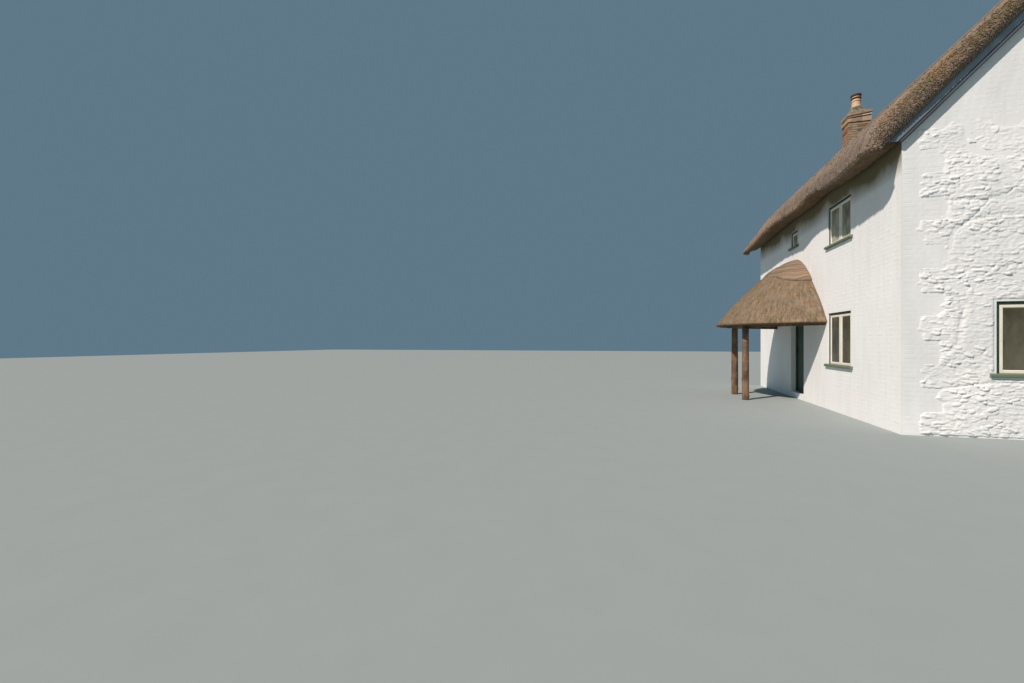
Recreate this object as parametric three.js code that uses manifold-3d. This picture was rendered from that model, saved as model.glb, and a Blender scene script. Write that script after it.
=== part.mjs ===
// A two-storey thatched cottage with painted masonry walls, one brick chimney and a round thatched porch.
// Millimetres, +Z up. X runs along the ridge, the porch is on the -Y side, and it stands on Z = 0.
// The near gable is the +X end and the chimney rises through the far end.

import * as THREE from "three";
import Module from "manifold-3d";
import { mergeVertices } from "three/addons/utils/BufferGeometryUtils.js";

const wasm = await Module();
wasm.setup();

// Fit between a piece and the neighbour that carries it, and how far a cut runs past a face
const FIT = 0.3;
const CUT_PAST = 10;

// Walls
const WALL_LENGTH = 8300;
const WALL_DEPTH = 5200;
const WALL_THICKNESS = 400;
const WALL_TOP = 4960;
const ROOF_PITCH = THREE.MathUtils.degToRad(46);
const ROOF_RISE = Math.tan(ROOF_PITCH);
const HALF_LENGTH = WALL_LENGTH / 2;
const HALF_DEPTH = WALL_DEPTH / 2;
const INNER_LENGTH = HALF_LENGTH - WALL_THICKNESS;
const INNER_DEPTH = HALF_DEPTH - WALL_THICKNESS;

// Floors
const GROUND_FLOOR_TOP = 150;
const FIRST_FLOOR_UNDERSIDE = 2450;
const FIRST_FLOOR_TOP = 2650;

// Main thatch, whose upright height is more over the long walls than beside the ridge
const VERGE_OVERHANG = 200;
const THATCH_HEIGHT = 405;
const THATCH_HEIGHT_AT_RIDGE = 260;
const VERGE_ROLL = 240;
const VERGE_ROLL_STATIONS = [0, 0.08, 0.33, 0.43, 0.7];
const VERGE_EDGE_SHARE = 0.45;
const STATION_SPACING = 340;

// In front of the bargeboards the verge hangs down, and past the walls its underside runs on to this distance
const VERGE_DROOP = 90;
const VERGE_FOOT = HALF_DEPTH + 330;

// Eaves: where the soffit meets the wall, the lower lip, and how far the edge lies out from the wall
const EAVES_JUNCTION = 4560;
const EAVES_LIP = 4430;
const EAVES_EDGE = HALF_DEPTH + 500;

// The eaves' rounded end from its lower lip up: distance past the edge, and share of the end's height
const EAVES_END = [[-70, 0], [0, 0.04], [35, 0.3], [30, 0.65], [-20, 0.93]];

// The slope above the end: share of the way from the ridge to the edge, and share of the top's lift there
const SLOPE_STATIONS = [[0.958, 0.8], [0.75, 0.45], [0.55, 0.15], [0.35, 0]];
const SOFFIT_LIFT_SHARE = 0.35;

// Where the eaves of each slope sweep up: the middle along X, the most lift, and how far it spreads
const EAVES_SWEEPS = {
  front: [
    { middle: 1600, lift: 170, spread: 800 },
    { middle: -900, lift: 140, spread: 2000 },
    { middle: 4350, lift: 90, spread: 700 },
  ],
  rear: [{ middle: 1875, lift: 200, spread: 1300 }, { middle: -1875, lift: 200, spread: 1300 }],
};

// The top of the end follows the lip's lift by this share only, so the end is thinner where the lip sweeps up
const TOP_LIFT_SHARE = 0.25;

// Towards the far gable the top of the front slope's end sinks: distances from the middle where that starts
// and is full, and how far it goes down
const FRONT_SINK = { from: 1600, full: 3800, depth: 240 };

// Over the front upper window the edge is cut back: where that starts, is full, and ends again along X
const FRONT_CUT = { start: 400, full: 900, fullTo: 1850, end: 2150, depth: 80 };

// Ridge: a saddle of thatch over both slopes, and the height that its rounding takes off the peak
const RIDGE_REACH = 520;
const RIDGE_STATIONS = [1, 0.75, 0.5, 0.25];
const RIDGE_HEIGHT = 50;
const RIDGE_ROUNDING = 60;

// Bargeboards under the verges, whose feet are cut level past the long walls
const BOARD_HEIGHT = 325;
const BOARD_THICKNESS = 30;
const BOARD_STAND_OFF = 95;
const BOARD_FOOT = 4630;
const SOFFIT_HEIGHT = 40;

// Chimney, which stands on the far gable wall, set back from its face, and on its breast
const BREAST_DEPTH = 350;
const BREAST_HALF_WIDTH = 450;
const STACK_BASE = 7000;
const STACK_LENGTH = 450;
const STACK_WIDTH = 580;
const STACK_SET_BACK = 150;
const STACK_TOP = 8240;
const CAP_LOWER_COURSE = { top: 8425, projection: 25 };
const CAP_UPPER_COURSE = { bottom: 8445, top: 8580, projection: 45 };
const FLAUNCHING_TOP = 8765;
const FLAUNCHING_EDGE_INSET = 30;
const FLAUNCHING_EDGE = 20;
const POT_HEIGHT = 410;
const POT_RADIUS = 130;
const POT_WALL = 25;
const ROUND_SIDES = 32;

// The pot's outside from its foot to its rim: radius past POT_RADIUS, and share of the height
const POT_PROFILE = [
  [8, 0], [8, 0.09], [-4, 0.13], [-8, 0.44], [8, 0.48], [8, 0.54], [-6, 0.58], [-6, 0.62], [13, 0.66],
  [13, 0.73], [-4, 0.77], [-4, 0.82], [20, 0.87], [20, 0.97], [10, 1],
];

// Porch: half a round roof on a three-sided timber plate
const PORCH_X = -620;
const PORCH_PLATE_DISTANCE = 1360;
const PORCH_CORNER_ANGLE = THREE.MathUtils.degToRad(25.15);
const PORCH_UNDER_RISE = 0.92;
const PORCH_UNDER_AT_PLATE = 2110;
const HOLLOW_BELOW_LIP = 400;
const HOLLOW_PAST_WALL = 500;

// The porch thatch's top falls from its apex with a power of the radius, down to a thin rounded lip
const PORCH_APEX = 3560;
const PORCH_FALL = { height: 1620, radius: 1900, power: 1.54 };
const PORCH_TOP_RADII = [1880, 1750, 1500, 1200, 900, 600, 350, 150, 0];
const PORCH_LIP = 1880;
const PORCH_LIP_PROFILE = [[0, 10], [1785, 0], [1890, 8], [1915, 35]];
const PORCH_RADIUS = 1915;
const PORCH_SIDES = 56;

// The patch over the porch's apex is an oval in plan, widest along the wall
const PORCH_CAP_WIDTH = 1030;
const PORCH_CAP_DEPTH = 780;
const PORCH_CAP_HEIGHT = 50;

// Porch timber
const PLATE_WIDTH = 110;
const PLATE_HEIGHT = 120;
const RAFTER_WIDTH = 50;
const RAFTER_DEPTH = 70;
const RAFTER_REACH = 1500;
const POST_RADIUS = 90;
const POST_TAPER = 0.93;
const POST_SIDES = 16;

// Doorway and door
const DOORWAY = { across: PORCH_X, width: 950, bottom: GROUND_FLOOR_TOP, top: 2120 };
const DOOR_FRAME_BAR = 70;
const DOOR_FRAME_DEPTH = 100;
const DOOR_RECESS = 110;
const DOOR_THICKNESS = 45;
const DOOR_SET_BACK = 25;
const THRESHOLD_HEIGHT = 40;

// Windows: a frame with its sill, its casements, and one sheet of glass
const WINDOW_RECESS = 20;
const FRAME_BAR = 50;
const FRAME_DEPTH = 75;
const SILL_HEIGHT = 60;
const SILL_PROJECTION = 50;
const SILL_HORN = 90;
const CASEMENT_BAR = 55;
const CASEMENT_MEETING = 150;
const CASEMENT_DEPTH = 42;
const CASEMENT_INSET = 6;
const GLASS_THICKNESS = 5;
const GLASS_LAP = 20;

// Each kind of window: its opening's width, bottom and top, and its number of lights
const UPPER = { width: 1080, bottom: 3500, top: 4390, lights: 2 };
const GROUND = { width: 1080, bottom: 935, top: 2090, lights: 2 };
const SMALL = { width: 500, bottom: 3930, top: 4390, lights: 1 };
const GABLE = { width: 1450, bottom: 935, top: 2090, lights: 3 };

// Each window's wall and its middle across that wall, which runs to the right when seen from outside
const WINDOW_ACROSS = 1875;
const WINDOWS = [
  { name: "front_upper_window", wall: "front", across: WINDOW_ACROSS, ...UPPER },
  { name: "front_small_window", wall: "front", across: -830, ...SMALL },
  { name: "front_ground_window", wall: "front", across: WINDOW_ACROSS, ...GROUND },
  { name: "near_gable_window", wall: "near", across: -655, ...GABLE },
  { name: "rear_upper_window_left", wall: "rear", across: -WINDOW_ACROSS, ...UPPER },
  { name: "rear_upper_window_right", wall: "rear", across: WINDOW_ACROSS, ...UPPER },
  { name: "rear_ground_window_left", wall: "rear", across: -WINDOW_ACROSS, ...GROUND },
  { name: "rear_ground_window_right", wall: "rear", across: WINDOW_ACROSS, ...GROUND },
];

// Finishes
const FINISHES = {
  paintedMasonry: { color: 0xe9e8e2, roughness: 0.85 },
  floorboards: { color: 0x8a6a48, roughness: 0.7 },
  flagstone: { color: 0x8d877b, roughness: 0.85 },
  thatch: { color: 0x7a6a55, roughness: 1 },
  ridgeThatch: { color: 0x8b7757, roughness: 1 },
  boardPaint: { color: 0x8d9aa4, roughness: 0.6 },
  brick: { color: 0x9a6a4e, roughness: 0.9 },
  mortar: { color: 0xa8a294, roughness: 0.95 },
  clayPot: { color: 0xb99a72, roughness: 0.75 },
  oak: { color: 0x9b7e66, roughness: 0.8 },
  greenPaint: { color: 0x2f4438, roughness: 0.5 },
  creamPaint: { color: 0xe6dcc0, roughness: 0.5 },
  doorPaint: { color: 0x35493c, roughness: 0.5 },
  glass: { color: 0x9fb4ba, roughness: 0.05 },
};

const cottage = new THREE.Group();

// A named piece with its finish, added to the group that carries it
function addPiece(parent, name, geometry, finish) {
  const material = new THREE.MeshStandardMaterial({ ...FINISHES[finish], metalness: 0 });
  const mesh = new THREE.Mesh(geometry, material);
  mesh.name = name;
  parent.add(mesh);
}

// A closed geometry as a solid that can be joined and cut
function toSolid(geometry) {
  const bare = geometry.clone();
  bare.deleteAttribute("normal");
  bare.deleteAttribute("uv");
  const merged = mergeVertices(bare, 0.01);
  return new wasm.Manifold(new wasm.Mesh({
    numProp: 3,
    vertProperties: new Float32Array(merged.attributes.position.array),
    triVerts: new Uint32Array(merged.index.array),
  }));
}

// A solid as a geometry again
function toGeometry(solid) {
  const mesh = solid.getMesh();
  const geometry = new THREE.BufferGeometry();
  geometry.setAttribute("position", new THREE.BufferAttribute(new Float32Array(mesh.vertProperties), 3));
  geometry.setIndex(new THREE.BufferAttribute(new Uint32Array(mesh.triVerts), 1));
  return geometry;
}

// Several closed geometries joined to one body
function join(geometries) {
  return toGeometry(geometries.map(toSolid).reduce((body, next) => body.add(next)));
}

// One closed geometry with others cut out of it
function cut(geometry, tools) {
  return toGeometry(tools.map(toSolid).reduce((body, tool) => body.subtract(tool), toSolid(geometry)));
}

// A box between two corners
function block([x0, y0, z0], [x1, y1, z1]) {
  const box = new THREE.BoxGeometry(x1 - x0, y1 - y0, z1 - z0);
  return box.translate((x0 + x1) / 2, (y0 + y1) / 2, (z0 + z1) / 2);
}

function shapeOf(points) {
  return new THREE.Shape(points.map(([across, up]) => new THREE.Vector2(across, up)));
}

// A shape drawn in X and Z, given its thickness from y0 to y1
function extrudeAlongY(shape, y0, y1) {
  const geometry = new THREE.ExtrudeGeometry(shape, { depth: y1 - y0, bevelEnabled: false });
  const basis = new THREE.Matrix4().makeBasis(
    new THREE.Vector3(1, 0, 0), new THREE.Vector3(0, 0, 1), new THREE.Vector3(0, -1, 0));
  return geometry.applyMatrix4(basis).translate(0, y1, 0);
}

// A shape drawn in Y and Z, given its thickness from x0 to x1
function extrudeAlongX(shape, x0, x1) {
  const geometry = new THREE.ExtrudeGeometry(shape, { depth: x1 - x0, bevelEnabled: false });
  const basis = new THREE.Matrix4().makeBasis(
    new THREE.Vector3(0, 1, 0), new THREE.Vector3(0, 0, 1), new THREE.Vector3(1, 0, 0));
  return geometry.applyMatrix4(basis).translate(x0, 0, 0);
}

// A shape drawn in X and Y, given its height from z0 to z1
function extrudeAlongZ(shape, z0, z1) {
  return new THREE.ExtrudeGeometry(shape, { depth: z1 - z0, bevelEnabled: false }).translate(0, 0, z0);
}

// Height of the thatch's underside over a point that lies out from the ridge
function roofUnderside(out) {
  return WALL_TOP + (HALF_DEPTH - Math.abs(out)) * ROOF_RISE;
}

// The windows' and the door's openings in one wall: where each lies across the wall, and its bottom and top
function openingsIn(wall, mirror) {
  const holes = WINDOWS.filter((window) => window.wall === wall);
  if (wall === "front") {
    holes.push(DOORWAY);
  }
  return holes.map(({ across, width, bottom, top }) => {
    const middle = mirror * across;
    return { left: middle - width / 2, right: middle + width / 2, bottom, top };
  });
}

// Long walls, from the floor to the underside of the thatch
function longWall(wall, mirror, y0, y1) {
  const body = block([-HALF_LENGTH, y0, 0], [HALF_LENGTH, y1, WALL_TOP - FIT]);
  const holes = openingsIn(wall, mirror).map(({ left, right, bottom, top }) => block(
    [left, y0 - CUT_PAST, bottom], [right, y1 + CUT_PAST, top]));
  return cut(body, holes);
}

// Gable walls: between the long walls below, and over their ends up to the ridge above
function gableWall(wall, x0, x1) {
  const inner = INNER_DEPTH - FIT;
  const right = [[inner, 0], [inner, WALL_TOP], [HALF_DEPTH - FIT, WALL_TOP]];
  const left = right.map(([across, up]) => [-across, up]).reverse();
  const body = extrudeAlongX(shapeOf([...right, [0, roofUnderside(0) - FIT], ...left]), x0, x1);
  const holes = openingsIn(wall, 1).map(({ left: low, right: high, bottom, top }) => block(
    [x0 - CUT_PAST, low, bottom], [x1 + CUT_PAST, high, top]));
  return cut(body, [...holes, stackRoom()]);
}

// The room that the chimney stack takes up in the far gable wall and in the thatch
function stackRoom() {
  const outer = -HALF_LENGTH + STACK_SET_BACK;
  const half = STACK_WIDTH / 2 + FIT;
  return block([outer - FIT, -half, STACK_BASE], [outer + STACK_LENGTH + FIT, half, STACK_TOP]);
}

function addWalls() {
  addPiece(cottage, "front_wall", longWall("front", 1, -HALF_DEPTH, -INNER_DEPTH), "paintedMasonry");
  addPiece(cottage, "rear_wall", longWall("rear", -1, INNER_DEPTH, HALF_DEPTH), "paintedMasonry");
  addPiece(cottage, "near_gable_wall", gableWall("near", INNER_LENGTH, HALF_LENGTH), "paintedMasonry");
  addPiece(cottage, "far_gable_wall", gableWall("far", -HALF_LENGTH, -INNER_LENGTH), "paintedMasonry");
}

// Floors, the upper one notched round the chimney breast
function addFloors() {
  const x = INNER_LENGTH - FIT;
  const y = INNER_DEPTH - 2 * FIT;
  const breastX = -INNER_LENGTH + BREAST_DEPTH + 2 * FIT;
  const breastY = BREAST_HALF_WIDTH + FIT;
  addPiece(cottage, "ground_floor", block([-x, -y, 0], [x, y, GROUND_FLOOR_TOP]), "flagstone");
  const outline = shapeOf([
    [x, -y], [x, y], [-x, y], [-x, breastY],
    [breastX, breastY], [breastX, -breastY], [-x, -breastY], [-x, -y],
  ]);
  const boards = extrudeAlongZ(outline, FIRST_FLOOR_UNDERSIDE, FIRST_FLOOR_TOP);
  addPiece(cottage, "first_floor", boards, "floorboards");
}

// Where the main thatch's cross sections stand along X: close together where the verge rolls over, and on
// both sides of the gable's face, where the underside changes
function thatchStations() {
  const end = HALF_LENGTH + VERGE_OVERHANG;
  const flat = end - VERGE_ROLL;
  const roll = VERGE_ROLL_STATIONS.map((share) => end - share * VERGE_ROLL);
  const verge = [...roll, HALF_LENGTH + FIT / 2, HALF_LENGTH - FIT / 2];
  const count = Math.round((2 * flat) / STATION_SPACING);
  const middle = Array.from({ length: count + 1 }, (_, i) => -flat + (i * 2 * flat) / count);
  return [...verge.map((x) => -x), ...middle, ...verge.reverse()];
}

// Share of the full thatch height at a station: it rounds down to the verge like a quarter ellipse
function vergeShare(x) {
  const inset = HALF_LENGTH + VERGE_OVERHANG - Math.abs(x);
  const reach = 1 - Math.min(inset / VERGE_ROLL, 1);
  return VERGE_EDGE_SHARE + (1 - VERGE_EDGE_SHARE) * Math.sqrt(1 - reach * reach);
}

// How far the eaves of one slope sweep up at a station
function eavesLift(wall, x) {
  return EAVES_SWEEPS[wall].reduce(
    (sum, { middle, lift, spread }) => sum + lift * Math.exp(-(((x - middle) / spread) ** 2)), 0);
}

// How far the top of one slope's end has sunk at a station
function endSink(wall, x) {
  const { from, full, depth } = FRONT_SINK;
  return wall === "front" ? depth * THREE.MathUtils.smoothstep(-x, from, full) : 0;
}

// How far one slope's edge is cut back at a station
function edgeCut(wall, x) {
  const { start, full, fullTo, end, depth } = FRONT_CUT;
  const { smoothstep } = THREE.MathUtils;
  return wall === "front" ? depth * smoothstep(x, start, full) * smoothstep(-x, -end, -fullTo) : 0;
}

// Top of the thatch at a distance out from the ridge, without the eaves' lift: it thins towards the ridge,
// and the peak is rounded off
function thatchTop(out, x) {
  const inward = Math.max(0, HALF_DEPTH - out) / (HALF_DEPTH - RIDGE_REACH);
  const thinning = inward * (THATCH_HEIGHT - THATCH_HEIGHT_AT_RIDGE);
  const rounding = RIDGE_ROUNDING * Math.max(0, 1 - out / RIDGE_REACH) ** 2;
  return roofUnderside(out) + vergeShare(x) * (THATCH_HEIGHT - thinning - rounding);
}

// Underside of one slope at a station, from the ridge to the eaves. Between the gables it comes down the
// wall's face to the soffit, and past them it runs on over the bargeboards, or hangs down in front of them
function slopeUnderside(x, lift) {
  const beyond = Math.abs(x) - HALF_LENGTH;
  if (beyond < 0) {
    return [
      [FIT, roofUnderside(0)],
      [HALF_DEPTH + FIT, WALL_TOP],
      [HALF_DEPTH + FIT, EAVES_JUNCTION + SOFFIT_LIFT_SHARE * lift],
    ];
  }
  const droop = beyond > BOARD_STAND_OFF + 10 * FIT ? VERGE_DROOP : 0;
  return [FIT, HALF_DEPTH, VERGE_FOOT].map((out) => [out, roofUnderside(out) - droop]);
}

// One slope's cross section, as distances out from the ridge and heights
function slopeSection(wall, x) {
  const lift = eavesLift(wall, x);
  const lip = EAVES_LIP + lift;
  const edge = EAVES_EDGE - edgeCut(wall, x);
  const topLift = TOP_LIFT_SHARE * lift - vergeShare(x) * endSink(wall, x);
  const endHeight = thatchTop(edge, x) + topLift - lip;
  const end = EAVES_END.map(([past, share]) => [edge + past, lip + share * endHeight]);
  const slope = SLOPE_STATIONS.map(([share, fade]) => {
    const out = share * edge;
    return [out, thatchTop(out, x) + fade * topLift];
  });
  const ridge = RIDGE_STATIONS.map((share) => share * RIDGE_REACH).map((out) => [out, thatchTop(out, x)]);
  return [
    ...slopeUnderside(x, lift),
    ...end,
    ...slope,
    ...ridge,
    [FIT, thatchTop(0, x)],
  ];
}

// A closed body through cross sections that stand at stations along X. Every face is split on the diagonal
// that starts nearer the ridge, so the ridge's underside and the slopes below it have the same facets
function loft(stations, sectionAt, side) {
  const rings = stations.map((x) => sectionAt(x).map(([out, up]) => [x, side * out, up]));
  const size = rings[0].length;
  const positions = rings.flat(2);
  const index = [];
  for (let i = 0; i < rings.length - 1; i += 1) {
    for (let j = 0; j < size; j += 1) {
      const next = (j + 1) % size;
      const a = i * size + j;
      const b = i * size + next;
      const inward = Math.abs(rings[i][next][1]) < Math.abs(rings[i][j][1]);
      const [c, d] = [a + size, b + size];
      index.push(...(inward ? [a, c, b, b, c, d] : [a, c, d, a, d, b]));
    }
  }
  const contour = sectionAt(stations[0]).map(([out, up]) => new THREE.Vector2(out, up));
  const last = (rings.length - 1) * size;
  const clockwise = THREE.ShapeUtils.isClockWise(contour);
  for (const face of THREE.ShapeUtils.triangulateShape(contour, [])) {
    const [a, b, c] = clockwise ? face.reverse() : face;
    index.push(a, b, c, last + a, last + c, last + b);
  }
  const geometry = new THREE.BufferGeometry();
  geometry.setAttribute("position", new THREE.Float32BufferAttribute(positions, 3));
  geometry.setIndex(index);
  return facingOut(geometry);
}

// Turns every face of a closed body round if the body's volume comes out negative
function facingOut(geometry) {
  const p = geometry.attributes.position;
  const index = geometry.index.array;
  const [a, b, c] = [new THREE.Vector3(), new THREE.Vector3(), new THREE.Vector3()];
  let volume = 0;
  for (let i = 0; i < index.length; i += 3) {
    a.fromBufferAttribute(p, index[i]);
    b.fromBufferAttribute(p, index[i + 1]);
    c.fromBufferAttribute(p, index[i + 2]);
    volume += a.dot(b.cross(c));
  }
  if (volume < 0) {
    for (let i = 0; i < index.length; i += 3) {
      [index[i], index[i + 1]] = [index[i + 1], index[i]];
    }
  }
  return geometry;
}

// The ridge's saddle of thatch, laid over the tops of both slopes
function ridgeSection(x) {
  const outs = [...RIDGE_STATIONS, 0].map((share) => share * RIDGE_REACH);
  const half = (height) => outs.map((out) => [out, thatchTop(out, x) + height]);
  const mirrored = (height) => half(height).slice(0, -1).map(([out, up]) => [-out, up]);
  const under = [...half(FIT), ...mirrored(FIT).reverse()];
  const over = [...mirrored(RIDGE_HEIGHT), ...half(RIDGE_HEIGHT).reverse()];
  return [...under, ...over];
}

function addThatch() {
  const stations = thatchStations();
  for (const [wall, side] of [["front", -1], ["rear", 1]]) {
    const slope = loft(stations, (x) => slopeSection(wall, x), side);
    addPiece(cottage, `${wall}_thatch`, cut(slope, [stackRoom()]), "thatch");
  }
  const ridge = loft(stations, ridgeSection, 1);
  addPiece(cottage, "ridge_thatch", cut(ridge, [stackRoom()]), "ridgeThatch");
}

// A pair of bargeboards that meet at the apex, with the soffit that closes them against the gable
function bargeboards(side) {
  const footAt = (drop) => HALF_DEPTH + (WALL_TOP - drop - BOARD_FOOT) / ROOF_RISE;
  const chevron = (top, bottom) => shapeOf([
    [-footAt(bottom), BOARD_FOOT],
    [0, roofUnderside(0) - bottom],
    [footAt(bottom), BOARD_FOOT],
    [footAt(top), BOARD_FOOT],
    [0, roofUnderside(0) - top],
    [-footAt(top), BOARD_FOOT],
  ]);
  const outer = HALF_LENGTH + BOARD_STAND_OFF;
  const inner = outer - BOARD_THICKNESS;
  const between = (a, b) => (side > 0 ? [a, b] : [-b, -a]);
  const board = extrudeAlongX(chevron(FIT, BOARD_HEIGHT), ...between(inner, outer));
  const soffit = extrudeAlongX(
    chevron(BOARD_HEIGHT - SOFFIT_HEIGHT, BOARD_HEIGHT),
    ...between(HALF_LENGTH + FIT, inner + BOARD_THICKNESS / 2));
  return join([board, soffit]);
}

function addBargeboards() {
  addPiece(cottage, "near_bargeboards", bargeboards(1), "boardPaint");
  addPiece(cottage, "far_bargeboards", bargeboards(-1), "boardPaint");
}

// The sloping mortar on the cap: a rectangular foot that turns round towards the pot
function flaunching(halfLength, halfWidth) {
  const ring = (up, placeAt) => Array.from({ length: ROUND_SIDES }, (_, i) => {
    const angle = (i / ROUND_SIDES) * 2 * Math.PI;
    return [up, ...placeAt(Math.cos(angle), Math.sin(angle))];
  });
  const rectangle = (cosine, sine) => {
    const stretch = 1 / Math.max(Math.abs(cosine), Math.abs(sine));
    return [halfLength * stretch * cosine, halfWidth * stretch * sine];
  };
  const round = (cosine, sine) => [(POT_RADIUS + POT_WALL) * cosine, (POT_RADIUS + POT_WALL) * sine];
  const bottom = CAP_UPPER_COURSE.top + FIT;
  const rings = [
    ring(bottom, rectangle),
    ring(bottom + FLAUNCHING_EDGE, rectangle),
    ring(FLAUNCHING_TOP, round),
  ];
  const positions = rings.flat().flatMap(([up, x, y]) => [x, y, up]);
  const index = [];
  for (let i = 0; i < rings.length - 1; i += 1) {
    for (let j = 0; j < ROUND_SIDES; j += 1) {
      const a = i * ROUND_SIDES + j;
      const b = i * ROUND_SIDES + ((j + 1) % ROUND_SIDES);
      index.push(a, b, a + ROUND_SIDES, b, b + ROUND_SIDES, a + ROUND_SIDES);
    }
  }
  const last = (rings.length - 1) * ROUND_SIDES;
  for (let j = 1; j < ROUND_SIDES - 1; j += 1) {
    index.push(0, j + 1, j, last, last + j, last + j + 1);
  }
  const geometry = new THREE.BufferGeometry();
  geometry.setAttribute("position", new THREE.Float32BufferAttribute(positions, 3));
  geometry.setIndex(index);
  return facingOut(geometry);
}

// A round body turned about Z from radii and heights
function turned(profile, sides) {
  const points = profile.map(([radius, up]) => new THREE.Vector2(radius, up));
  return new THREE.LatheGeometry(points, sides).rotateX(Math.PI / 2);
}

// The clay pot: a hollow tube with a foot, two bands round it and a rolled rim
function chimneyPot() {
  const bore = POT_RADIUS - POT_WALL;
  const outside = POT_PROFILE.map(([past, share]) => [POT_RADIUS + past, share * POT_HEIGHT]);
  return turned([[bore, 0], ...outside, [bore, POT_HEIGHT], [bore, 0]], ROUND_SIDES);
}

function addChimney() {
  const breastX = -INNER_LENGTH + FIT;
  const breast = block(
    [breastX, -BREAST_HALF_WIDTH, GROUND_FLOOR_TOP + FIT],
    [breastX + BREAST_DEPTH, BREAST_HALF_WIDTH, STACK_BASE]);
  addPiece(cottage, "chimney_breast", breast, "brick");

  const chimney = new THREE.Group();
  chimney.position.x = -HALF_LENGTH + STACK_SET_BACK + STACK_LENGTH / 2;
  const [halfLength, halfWidth] = [STACK_LENGTH / 2, STACK_WIDTH / 2];
  const course = (past, z0, z1) => block(
    [-halfLength - past, -halfWidth - past, z0],
    [halfLength + past, halfWidth + past, z1]);
  addPiece(chimney, "chimney_stack", course(0, STACK_BASE + FIT, STACK_TOP - FIT), "brick");
  const cap = join([
    course(0, STACK_TOP, CAP_UPPER_COURSE.top),
    course(CAP_LOWER_COURSE.projection, STACK_TOP, CAP_LOWER_COURSE.top),
    course(CAP_UPPER_COURSE.projection, CAP_UPPER_COURSE.bottom, CAP_UPPER_COURSE.top),
  ]);
  addPiece(chimney, "chimney_cap", cap, "brick");
  const past = CAP_UPPER_COURSE.projection - FLAUNCHING_EDGE_INSET;
  addPiece(chimney, "chimney_flaunching", flaunching(halfLength + past, halfWidth + past), "mortar");
  const pot = chimneyPot().translate(0, 0, FLAUNCHING_TOP + FIT);
  addPiece(chimney, "chimney_pot", pot, "clayPot");
  cottage.add(chimney);
}

// Top of the porch's thatch at a distance from its axis
function porchTop(radius) {
  return PORCH_APEX - PORCH_FALL.height * (radius / PORCH_FALL.radius) ** PORCH_FALL.power;
}

// The space on the house's side of the wall's face, where no porch piece may reach
function houseSide() {
  return block([-2 * PORCH_RADIUS, -FIT, 0], [2 * PORCH_RADIUS, 2 * PORCH_RADIUS, 2 * PORCH_APEX]);
}

// The porch's thatch: half of a round roof, hollow underneath where its rafters and plate stand
function porchThatch() {
  const lip = PORCH_LIP_PROFILE.map(([radius, up]) => [radius, PORCH_LIP + up]);
  const top = PORCH_TOP_RADII.map((radius) => [radius, porchTop(radius)]);
  return cut(turned([...lip, ...top], PORCH_SIDES), [porchHollow(), houseSide()]);
}

// A point in plan on the line at a distance from the porch's axis, at its corner or where it meets Y
function plateCorner(distance) {
  return [distance * Math.tan(PORCH_CORNER_ANGLE), -distance];
}

function plateEnd(distance, y) {
  const [x, corner] = plateCorner(distance);
  return [x + (y - corner) / Math.tan(2 * PORCH_CORNER_ANGLE), y];
}

// Height of the porch thatch's underside over a point at a distance from the axis
function porchUnderside(distance) {
  return PORCH_UNDER_AT_PLATE + (PORCH_PLATE_DISTANCE - distance) * PORCH_UNDER_RISE;
}

// The pyramid of space under the porch's thatch
function porchHollow() {
  const base = PORCH_LIP - HOLLOW_BELOW_LIP;
  const distance = PORCH_PLATE_DISTANCE + (PORCH_UNDER_AT_PLATE - base) / PORCH_UNDER_RISE;
  const [cx, cy] = plateCorner(distance);
  const [ex, ey] = plateEnd(distance, HOLLOW_PAST_WALL);
  const corners = [
    [0, 0, porchUnderside(0)], [-cx, cy, base], [cx, cy, base], [ex, ey, base], [-ex, ey, base],
  ];
  const geometry = new THREE.BufferGeometry();
  geometry.setAttribute("position", new THREE.Float32BufferAttribute(corners.flat(), 3));
  geometry.setIndex([0, 1, 2, 0, 2, 3, 0, 3, 4, 0, 4, 1, 1, 3, 2, 1, 4, 3]);
  return facingOut(geometry);
}

// The patch of thatch over the porch's apex: a shell over the coat below, trimmed to an oval
function porchCap() {
  const shell = (height) => PORCH_TOP_RADII.map((radius) => [radius, porchTop(radius) + height]);
  const body = turned([...shell(FIT).reverse(), ...shell(PORCH_CAP_HEIGHT)], PORCH_SIDES);
  const oval = new THREE.CylinderGeometry(PORCH_CAP_WIDTH, PORCH_CAP_WIDTH, 2 * PORCH_APEX, PORCH_SIDES)
    .rotateX(Math.PI / 2)
    .scale(1, PORCH_CAP_DEPTH / PORCH_CAP_WIDTH, 1);
  return toGeometry(toSolid(body).intersect(toSolid(oval)).subtract(toSolid(houseSide())));
}

// Height of the plate's top: the rafters rest on its outer edge
function plateTop() {
  const drop = RAFTER_DEPTH * Math.hypot(1, PORCH_UNDER_RISE);
  return porchUnderside(PORCH_PLATE_DISTANCE + PLATE_WIDTH / 2) - drop - 3 * FIT;
}

function porchPlate() {
  const outer = PORCH_PLATE_DISTANCE + PLATE_WIDTH / 2;
  const inner = PORCH_PLATE_DISTANCE - PLATE_WIDTH / 2;
  const right = [plateCorner(outer), plateEnd(outer, -FIT), plateEnd(inner, -FIT), plateCorner(inner)];
  const left = right.map(([x, y]) => [-x, y]).reverse();
  return extrudeAlongZ(shapeOf([...right, ...left]), plateTop() - PLATE_HEIGHT, plateTop());
}

// A rafter that runs out from the axis at an angle, under a roof line that falls at its own rise
function rafter(angle, rise) {
  const top = (radius) => porchUnderside(0) - rise * radius;
  const drop = RAFTER_DEPTH * Math.hypot(1, rise);
  const outline = shapeOf([
    [0, top(0) - drop],
    [RAFTER_REACH, top(RAFTER_REACH) - drop],
    [RAFTER_REACH, top(RAFTER_REACH)],
    [0, top(0)],
  ]);
  return extrudeAlongY(outline, -RAFTER_WIDTH / 2, RAFTER_WIDTH / 2).rotateZ(angle - Math.PI / 2);
}

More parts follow.
